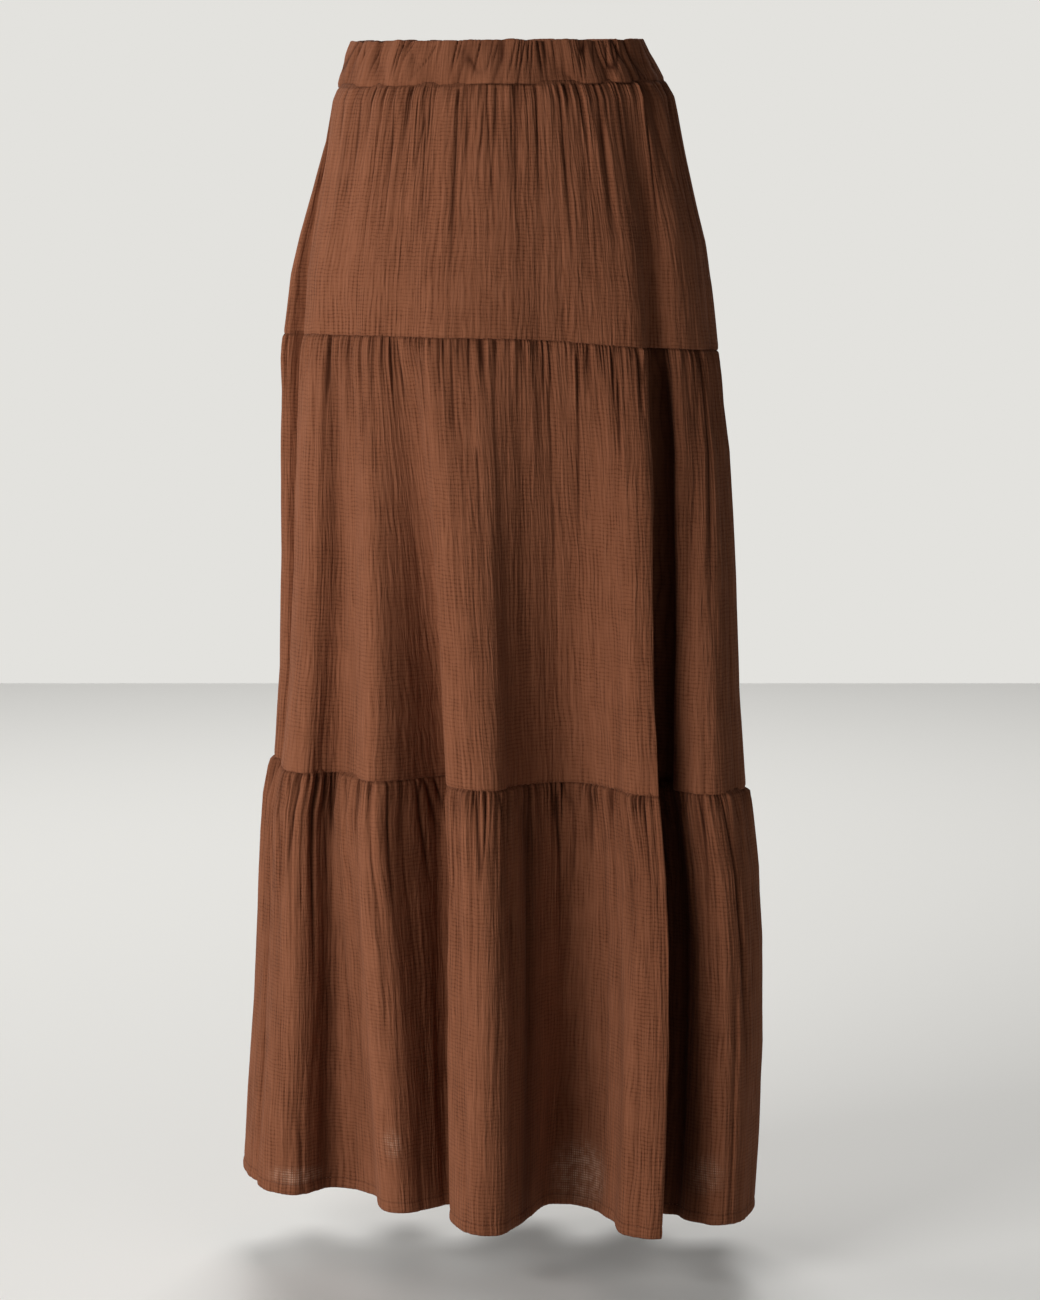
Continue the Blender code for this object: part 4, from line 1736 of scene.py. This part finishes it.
@dataclass
class Studio:
    """The plain pale room: a floor, soft light from the left, and the camera.

    The floor ends floor_far_edge behind the skirt, where the wall would rise. room_light is how
    strongly the pale room lights the skirt. The camera's view takes in photo_height pixels at
    a focal length of focal_pixels.
    """

    floor_level: float = -1.063
    floor_half: float = 5.0
    floor_far_edge: float = 3.66
    floor_colour: Colour = (0.77, 0.76, 0.73, 1.0)
    floor_roughness: float = 0.32
    room_colour: Colour = (0.768, 0.760, 0.730, 1.0)
    room_light: float = 0.02
    camera_place: tuple[float, float, float] = (0.0207, -4.0, 0.0)
    camera_tilt: float = math.radians(7.4895)
    photo_height: float = 1300.0
    focal_pixels: float = 4640.0
    lights: tuple[SoftLight, ...] = (
        SoftLight("key", turn=-42.0, rise=15.0, watts=130.0),
        SoftLight("left side", turn=-90.0, rise=15.0, watts=31.0),
        SoftLight("left back", turn=-120.0, rise=30.0, watts=32.0),
        SoftLight("right top", turn=40.0, rise=50.0, watts=8.0),
        SoftLight("back", turn=180.0, rise=40.0, watts=95.0),
    )

    def build(self) -> None:
        """Sets up the room, the lights and the camera."""
        self.lay_floor()
        self.light_room()
        for light in self.lights:
            light.make()
        self.place_camera()
        bpy.context.scene.view_settings.view_transform = "Standard"

    def lay_floor(self) -> None:
        """Lays a plain floor, whose far edge is the line where the wall would rise."""
        bpy.ops.object.select_all(action="DESELECT")
        bpy.ops.mesh.primitive_plane_add(size=1.0)
        floor = bpy.context.active_object
        floor.name = "floor"
        length = self.floor_half + self.floor_far_edge
        floor.scale = (2.0 * self.floor_half, length, 1.0)
        floor.location = (0.0, self.floor_far_edge - 0.5 * length, self.floor_level)
        bpy.ops.object.transform_apply(location=True, rotation=False, scale=True)
        material = bpy.data.materials.new("pale_floor")
        NodeBench(material).surface(Base_Color=self.floor_colour, Roughness=self.floor_roughness)
        floor.data.materials.append(material)

    def light_room(self) -> None:
        """Gives the room its pale look, also as the floor mirrors it, and a much weaker light."""
        world = bpy.data.worlds.new("pale room")
        bpy.context.scene.world = world
        bench = NodeBench(world)
        seen = bench.tree.nodes["Background"]
        bench.fill(seen, {"Color": self.room_colour})
        lit = bench.add("ShaderNodeBackground", Color=self.room_colour, Strength=self.room_light)
        path = bench.add("ShaderNodeLightPath").outputs
        looked_at = bench.math("MAXIMUM", path["Is Camera Ray"], path["Is Glossy Ray"])
        shaders = {"0": looked_at, "1": lit.outputs[0], "2": seen.outputs[0]}
        mix = bench.add("ShaderNodeMixShader", **shaders)
        bench.fill(bench.tree.nodes["World Output"], {"Surface": mix.outputs[0]})

    def place_camera(self) -> None:
        """Stands the camera behind the skirt, level with its waist and tilted down a little."""
        data = bpy.data.cameras.new("camera")
        data.sensor_width = 36.0
        data.lens = data.sensor_width * self.focal_pixels / self.photo_height
        camera = put_in_scene("camera", data)
        camera.location = self.camera_place
        camera.rotation_euler = (math.radians(90.0) - self.camera_tilt, 0.0, 0.0)
        bpy.context.scene.camera = camera


BAND_GATHERS = (
    #     spacing, run, begins, fades, rest, limit
    Gathers(9.0, 60, 1, 1000, 1.00, 0.3),
    Gathers(30.0, 90, 1, 1000, 1.00, 1.1),
    Gathers(60.0, 90, 1, 1000, 1.00, 1.5),
    Gathers(24.0, 90, 1, 1000, 1.00, 1.0, sharp=True),
)

TIER1_GATHERS = (
    #     spacing, run, begins, fades, rest, limit
    Gathers(6.0, 25, 1, 14, 0.08, 0.8),
    Gathers(9.0, 60, 1, 60, 0.12, 0.9),
    Gathers(22.0, 100, 2, 90, 0.20, 1.5),
    Gathers(80.0, 120, 30, 300, 0.30, 1.0),
    Gathers(15.0, 110, 1, 80, 0.08, 1.8, sharp=True),
)

TIER2_GATHERS = (
    #     spacing, run, begins, fades, rest, limit
    Gathers(6.2, 25, 1, 14, 0.08, 1.0),
    Gathers(11.0, 60, 1, 35, 0.12, 1.2),
    Gathers(26.0, 120, 2, 70, 0.25, 1.6),
    Gathers(90.0, 200, 60, 400, 0.50, 1.4),
    Gathers(17.0, 110, 1, 45, 0.10, 1.9, sharp=True),
)

TIER3_GATHERS = (
    #     spacing, run, begins, fades, rest, limit
    Gathers(7.2, 30, 1, 24, 0.08, 1.4),
    Gathers(12.0, 70, 1, 50, 0.15, 1.6),
    Gathers(27.0, 140, 2, 90, 0.30, 2.0),
    Gathers(100.0, 200, 60, 400, 0.50, 1.6),
    Gathers(18.0, 120, 1, 80, 0.12, 2.0, sharp=True),
    Gathers(9.0, 60, 1, 30, 0.10, 1.6, sharp=True),
)

BAND_CREASES = (
    #       top  bottom  start   end  height  width
    Crease( 2.40,  2.45,    3,   34,  -1.0,  1.3),
    Crease( 2.95,  3.15,    0,   28,  -1.2,  1.4),
    Crease( 3.98,  3.65,    0,   30,  -1.8,  1.3),
    Crease( 4.22,  3.92,    0,   34,  -2.2,  1.4),
    Crease( 5.88,  5.62,    1,   36,  -1.8,  1.3),
    Crease( 6.07,  5.82,    0,   37,  -2.2,  1.4),
    Crease( 6.43,  6.00,    0,   20,  -1.4,  1.3),
    Crease( 7.40,  6.40,    2,   34,  -1.3,  1.7),
    Crease( 8.38,  8.16,    0,   37,  -2.5,  1.6),
    Crease( 8.56,  8.30,    0,   28,  -1.6,  1.3),
    Crease( 9.22,  8.92,    1,   37,  -2.5,  1.6),
    Crease( 9.68,  9.35,    0,   34,  -1.2,  1.4),
    Crease( 9.84,  9.56,    2,   30,  -1.0,  1.3),
    Crease(10.35, 10.05,    0,   36,  -1.7,  1.4),
    Crease(10.47, 10.22,    0,   37,  -2.2,  1.3),
    Crease(10.62, 10.33,    0,   34,  -1.7,  1.2),
    Crease(10.74, 10.52,    0,   36,  -1.9,  1.2),
    Crease(10.84, 10.65,    0,   37,  -1.7,  1.2),
    Crease(10.98, 11.00,    1,   37,  -2.1,  1.3),
    Crease(12.33, 12.28,   12,   37,  -1.7,  1.3),
    Crease(12.80, 12.62,   12,   37,  -1.7,  1.3),
    Crease(13.35, 12.74,    0,   37,  -1.9,  1.4),
    Crease(14.03, 13.35,    1,   34,  -1.3,  1.3),
    Crease(14.58, 14.08,    1,   36,  -1.5,  1.3),
    Crease(15.10, 14.32,    0,   37,  -2.7,  1.7),
    Crease(16.45, 16.25,    0,   37,  -2.8,  1.9),
    Crease(17.55, 17.20,    4,   37,  -1.6,  1.4),
    Crease(18.05, 18.00,    6,   37,  -1.9,  1.4),
    Crease(19.60, 19.75,    0,   37,  -2.2,  1.6),
    Crease(20.90, 21.10,    0,   34,  -1.8,  1.4),
    Crease(21.15, 21.32,    2,   37,  -2.1,  1.4),
    Crease(22.60, 22.55,    0,   30,  -1.5,  1.4),
    Crease(23.70, 23.45,    0,   37,  -2.4,  1.6),
    Crease(24.90, 24.60,    1,   37,  -1.9,  1.4),
    Crease(25.15, 24.88,    0,   32,  -1.5,  1.3),
    Crease(26.50, 26.45,    0,   37,  -2.3,  1.5),
    Crease(27.60, 27.85,    0,   36,  -1.7,  1.4),
    Crease(28.70, 28.95,    0,   37,  -2.2,  1.5),
    Crease(29.85, 30.00,    2,   30,  -1.4,  1.3),
    Crease(31.10, 31.05,    0,   37,  -2.0,  1.4),
    Crease(32.30, 32.05,    0,   36,  -1.8,  1.4),
)

TIER1_CREASES = (
    #       top  bottom  start   end  height  width
    Crease( 1.00,  1.00,   60,  240,  -4.0, 10.0, slip=-3.0, soft=True),
    Crease( 2.65,  2.83,    0,   60,  -1.2,  2.4),
    Crease( 3.70,  3.83,    0,   85,  -1.3,  2.4),
    Crease( 6.10,  6.28,    0,  110,  -1.4,  2.4),
    Crease( 6.68,  6.60,    0,   50,  -1.7,  2.4),
    Crease( 7.45,  7.48,    0,   70,  -1.9,  2.6),
    Crease( 8.56,  8.62,    2,  210,  -2.8,  3.0),
    Crease( 8.85,  8.92,    0,   90,  -1.5,  2.4),
    Crease( 9.75,  9.73,    0,   60,  -1.6,  2.4),
    Crease(10.25, 10.20,    0,  120,  -2.1,  2.8),
    Crease(10.78, 10.68,    0,  120,  -1.8,  2.6),
    Crease(11.45, 11.50,    0,  190,  -2.2,  3.0),
    Crease(12.23, 12.30,    0,   55,  -1.8,  2.4),
    Crease(13.23, 13.05,    0,  180,  -2.2,  3.0),
    Crease(14.25, 14.23,    0,  110,  -1.9,  2.6),
    Crease(16.12, 15.20,    0,  180,  -2.2,  3.6),
    Crease(17.43, 16.60,    5,  130,   1.6,  8.0, soft=True),
    Crease(18.10, 17.40,    0,  220,  -3.2,  4.0),
    Crease(20.40, 20.30,    0,  140,  -2.2,  3.0),
    Crease(21.60, 21.70,    0,   70,  -1.7,  2.4),
    Crease(22.50, 22.40,    0,  180,  -2.3,  3.0),
    Crease(23.40, 23.50,    0,   55,  -1.6,  2.4),
    Crease(24.20, 24.25,    0,  100,  -1.9,  2.6),
    Crease(25.35, 25.20,    0,  150,  -2.1,  2.8),
    Crease(26.60, 26.70,    0,   80,  -1.7,  2.4),
    Crease(27.50, 27.40,    3,  190,  -2.4,  3.0),
    Crease(28.70, 28.80,    0,   60,  -1.6,  2.4),
    Crease(29.60, 29.50,    0,  130,  -2.0,  2.8),
    Crease(31.00, 31.20,    0,   90,  -1.8,  2.6),
    Crease(32.10, 32.30,    0,  120,  -1.7,  2.6),
)

TIER2_CREASES = (
    #       top  bottom  start   end  height  width
    Crease( 1.00,  1.00,  -20,  390,  -4.0, 11.0, slip=-3.0, soft=True),
    Crease( 3.55,  3.38,    0,   70,  -2.8,  4.0),
    Crease( 3.75,  3.62,   10,  220,  -1.8, 12.0, soft=True, shade=0.18),
    Crease( 4.73,  4.28,    8,  310,   1.4,  9.0, soft=True),
    Crease( 6.18,  6.12,    0,   70,  -1.4,  2.4),
    Crease( 6.43,  6.38,    0,   40,  -1.6,  2.4),
    Crease( 6.65,  6.60,    0,   60,  -2.2,  2.8),
    Crease( 6.80,  6.88,    0,   70,  -2.2,  2.8),
    Crease( 7.28,  7.74,    0,   60,  -2.6,  3.0),
    Crease( 7.55,  7.92,    0,   34,  -2.2,  2.6),
    Crease( 7.30,  6.72,   30,  370,  -1.4, 13.0, soft=True),
    Crease( 8.68,  8.60,    0,  110,  -1.9,  2.8),
    Crease( 9.15,  9.12,   90,  220,  -1.4,  2.8),
    Crease( 9.45,  9.35,   10,  370,   1.8, 12.0, soft=True),
    Crease( 9.75,  9.70,   10,  370,   0.0, 10.0, soft=True, shade=0.22),
    Crease(10.25, 10.20,    0,  370,  -1.8, 12.0, soft=True),
    Crease(10.50, 10.48,    0,   55,  -2.0,  2.8),
    Crease(11.53, 11.20,   10,  200,  -2.6,  3.6),
    Crease(11.85, 11.75,    0,   35,  -1.8,  2.6),
    Crease(12.50, 12.23,  130,  380,  -1.4,  8.0, soft=True),
    Crease(12.75, 12.62,    0,   45,  -1.8,  2.6),
    Crease(12.83, 12.75,   30,  100,  -1.8,  2.8),
    Crease(13.28, 13.25,    0,   30,  -1.6,  2.4),
    Crease(13.80, 13.78,    0,   70,  -1.7,  2.6),
    Crease(14.40, 14.40,    0,  500,  -3.0, 40.0, soft=True),
    Crease(14.40, 14.40,  150,  600,  -5.5, 40.0, soft=True),
    Crease(15.20, 15.35,  -10,  400, -11.0, 13.0, soft=True, shade=0.85),
    Crease(16.20, 16.20,    0,  400,  -1.0, 24.0, soft=True, shade=0.30),
    Crease(17.20, 17.07,    0,  270,  -3.0,  4.4),
    Crease(20.30, 20.10,    0,  180,  -2.8,  4.4),
    Crease(21.40, 21.50,    0,   80,  -2.0,  3.0),
    Crease(22.30, 22.10,    0,  240,  -2.8,  4.6),
    Crease(23.30, 23.40,    0,   60,  -1.9,  2.8),
    Crease(24.40, 24.20,    0,  200,  -2.8,  4.4),
    Crease(25.50, 25.60,    0,  110,  -2.1,  3.0),
    Crease(26.60, 26.40,   10,  330,  -1.6, 11.0, soft=True),
    Crease(27.30, 27.20,    0,  180,  -2.8,  4.4),
    Crease(28.40, 28.50,    0,   70,  -2.0,  2.8),
    Crease(29.30, 29.10,    0,  260,  -2.8,  4.6),
    Crease(30.50, 30.60,    0,  100,  -2.0,  3.0),
    Crease(31.40, 31.20,    0,  200,  -2.6,  4.4),
)

TIER3_CREASES = (
    #       top  bottom  start   end  height  width
    Crease( 1.00,  1.00,  -10,  340,  -3.0, 12.0, slip=-3.0, soft=True),
    Crease( 2.98,  2.80,   10,  120,  -1.6,  3.0),
    Crease( 3.38,  3.40,    0,  240,  -3.0,  4.6),
    Crease( 3.72,  3.80,   10,  400,  -3.0, 13.0, soft=True, shade=0.50),
    Crease( 3.75,  4.03,    0,   70,  -2.2,  2.8),
    Crease( 4.53,  4.90,    0,   36,  -2.0,  2.6),
    Crease( 5.30,  5.05,   20,  260,   1.8, 10.0, soft=True),
    Crease( 5.60,  5.62,    2,   62,  -1.8,  2.8),
    Crease( 6.23,  6.25,    0,  135,  -2.6,  3.0),
    Crease( 6.50,  6.66,    0,  110,  -2.6,  3.2),
    Crease( 6.58,  6.76,    0,   55,  -2.4,  2.8),
    Crease( 6.68,  6.80,    0,   34,  -2.2,  2.6),
    Crease( 6.72,  6.72,   10,  400,  -2.0,  8.0, soft=True, shade=0.10),
    Crease( 8.70,  8.83,    0,   90,  -2.4,  3.4),
    Crease( 9.50,  9.45,   10,  370,   2.0, 13.0, soft=True),
    Crease(10.20, 10.20,    0,  400,  -2.8, 17.0, soft=True, shade=0.75),
    Crease(10.70, 10.75,   10,  120,  -2.2,  3.4),
    Crease(11.28, 11.23,    0,   80,  -2.4,  3.4),
    Crease(12.10, 12.88,    0,  300,   2.0, 10.0, soft=True),
    Crease(14.35, 14.35, -100,  500,  -9.0, 44.0, soft=True),
    Crease(15.00, 15.00,  -20,  420,  -6.0, 14.0, soft=True, shade=0.50),
    Crease(15.60, 15.75,  -20,  420, -11.0, 17.0, soft=True, shade=0.90),
    Crease(16.40, 16.30,    0,  420,  -1.0, 34.0, soft=True, shade=0.38),
    Crease(16.75, 16.60,    0,  110,  -2.0,  3.4),
    Crease(17.28, 17.60,    0,  300,  -3.0,  4.6),
    Crease(20.20, 20.35,    0,  150,  -3.0,  5.0),
    Crease(21.50, 21.40,    0,  110,  -2.4,  3.4),
    Crease(22.40, 22.50,    0,  170,  -3.0,  5.0),
    Crease(23.60, 23.50,    0,   90,  -2.4,  3.4),
    Crease(24.30, 24.45,    0,  160,  -3.0,  4.8),
    Crease(25.70, 25.60,   10,  120,  -2.2,  3.4),
    Crease(26.60, 26.70,    0,  150,  -2.8,  4.6),
    Crease(27.40, 27.30,    0,  100,  -2.4,  3.4),
    Crease(28.60, 28.80,    0,  130,  -2.6,  3.6),
    Crease(29.40, 29.30,    0,  170,  -3.0,  4.8),
    Crease(30.60, 30.50,    0,   90,  -2.2,  3.4),
    Crease(31.30, 31.45,    0,  160,  -2.8,  4.6),
)

SHEER_PATCHES = (
    #            fold  below around down strength
    SheerPatch( 11.20,  343,   36,   26, 1.0),
    SheerPatch(  6.05,  313,    9,   12, 0.6),
    SheerPatch(  3.10,  357,   34,    7, 0.8),
    SheerPatch( 16.60,  330,   20,   16, 0.5),
    SheerPatch( 24.60,  335,   30,   22, 0.8),
    SheerPatch( 29.20,  345,   24,   14, 0.6),
)


@dataclass
class Skirt:
    """The whole skirt: the waistband, three tiers and the hem's stitches."""

    cloth: DoubleGauze = DoubleGauze()
    shirred_cloth: DoubleGauze = DoubleGauze(name="shirred_gauze", fineness=0.6, crease_strength=0.9)
    thread: SewingThread = SewingThread()

    def waistband(self) -> Waistband:
        """The elastic waistband, whose cloth is as wide as the tier below it.

        Returns:
            The waistband.
        """
        return Waistband(
            name="waistband",
            top=WAIST_TOP,
            bottom=BAND_SEAM,
            cut_width=1.0,
            columns=1100,
            rows=22,
            inner_columns=1100,
            inner_rows=8,
            seed=11,
            slot=self.shirred_cloth.name,
            gathers=BAND_GATHERS,
            creases=BAND_CREASES,
            least_rows=1,
            drift=1.0 * MM,
            crinkle=0.12 * MM,
        )

    def top_tier(self) -> Tier:
        """The tier from the waistband to the hips.

        Returns:
            The top tier.
        """
        return Tier(
            name="tier1",
            top=BAND_SEAM,
            bottom=HIP_SEAM,
            cut_width=1.0,
            columns=1400,
            rows=62,
            inner_columns=300,
            seed=12,
            slot=self.cloth.name,
            gathers=TIER1_GATHERS,
            creases=TIER1_CREASES,
        )

    def middle_tier(self) -> Tier:
        """The tier from the hips to the knees.

        Returns:
            The middle tier.
        """
        return Tier(
            name="tier2",
            top=HIP_SEAM,
            bottom=KNEE_SEAM,
            cut_width=1.5,
            columns=1650,
            rows=84,
            inner_columns=380,
            seed=13,
            slot=self.cloth.name,
            gathers=TIER2_GATHERS,
            creases=TIER2_CREASES,
        )

    def bottom_tier(self) -> Tier:
        """The tier from the knees to the turned hem.

        Returns:
            The bottom tier.
        """
        return Tier(
            name="tier3",
            top=KNEE_SEAM,
            bottom=HEM,
            cut_width=2.2,
            columns=2190,
            rows=74,
            inner_columns=480,
            seed=14,
            slot=self.cloth.name,
            gathers=TIER3_GATHERS,
            creases=TIER3_CREASES,
            sheer=SHEER_PATCHES,
            lower_edge=TURNED_HEM,
        )

    def build(self) -> None:
        """Makes every piece, dresses it, hangs it on the root, hides its CAD solid and logs its faces."""
        finishes = {finish.name: finish.make() for finish in (self.cloth, self.shirred_cloth)}
        thread = self.thread.make()
        for part in (self.waistband(), self.top_tier(), self.middle_tier(), self.bottom_tier()):
            for half in Half:
                piece = part.build(half)
                piece.data.materials.append(finishes[part.slot])
                stitches = [HemStitching(part).build(half, thread)] if part.bottom == HEM else []
                part.declare(piece, half, stitches)
                log.info("%s: %d faces", piece.name, len(piece.data.polygons))


def main() -> None:
    """Imports the CAD model, and builds the skirt and its studio."""
    logging.basicConfig(level=logging.INFO, format="%(message)s")
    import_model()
    Skirt().build()
    Studio().build()


if __name__ == "__main__":
    main()
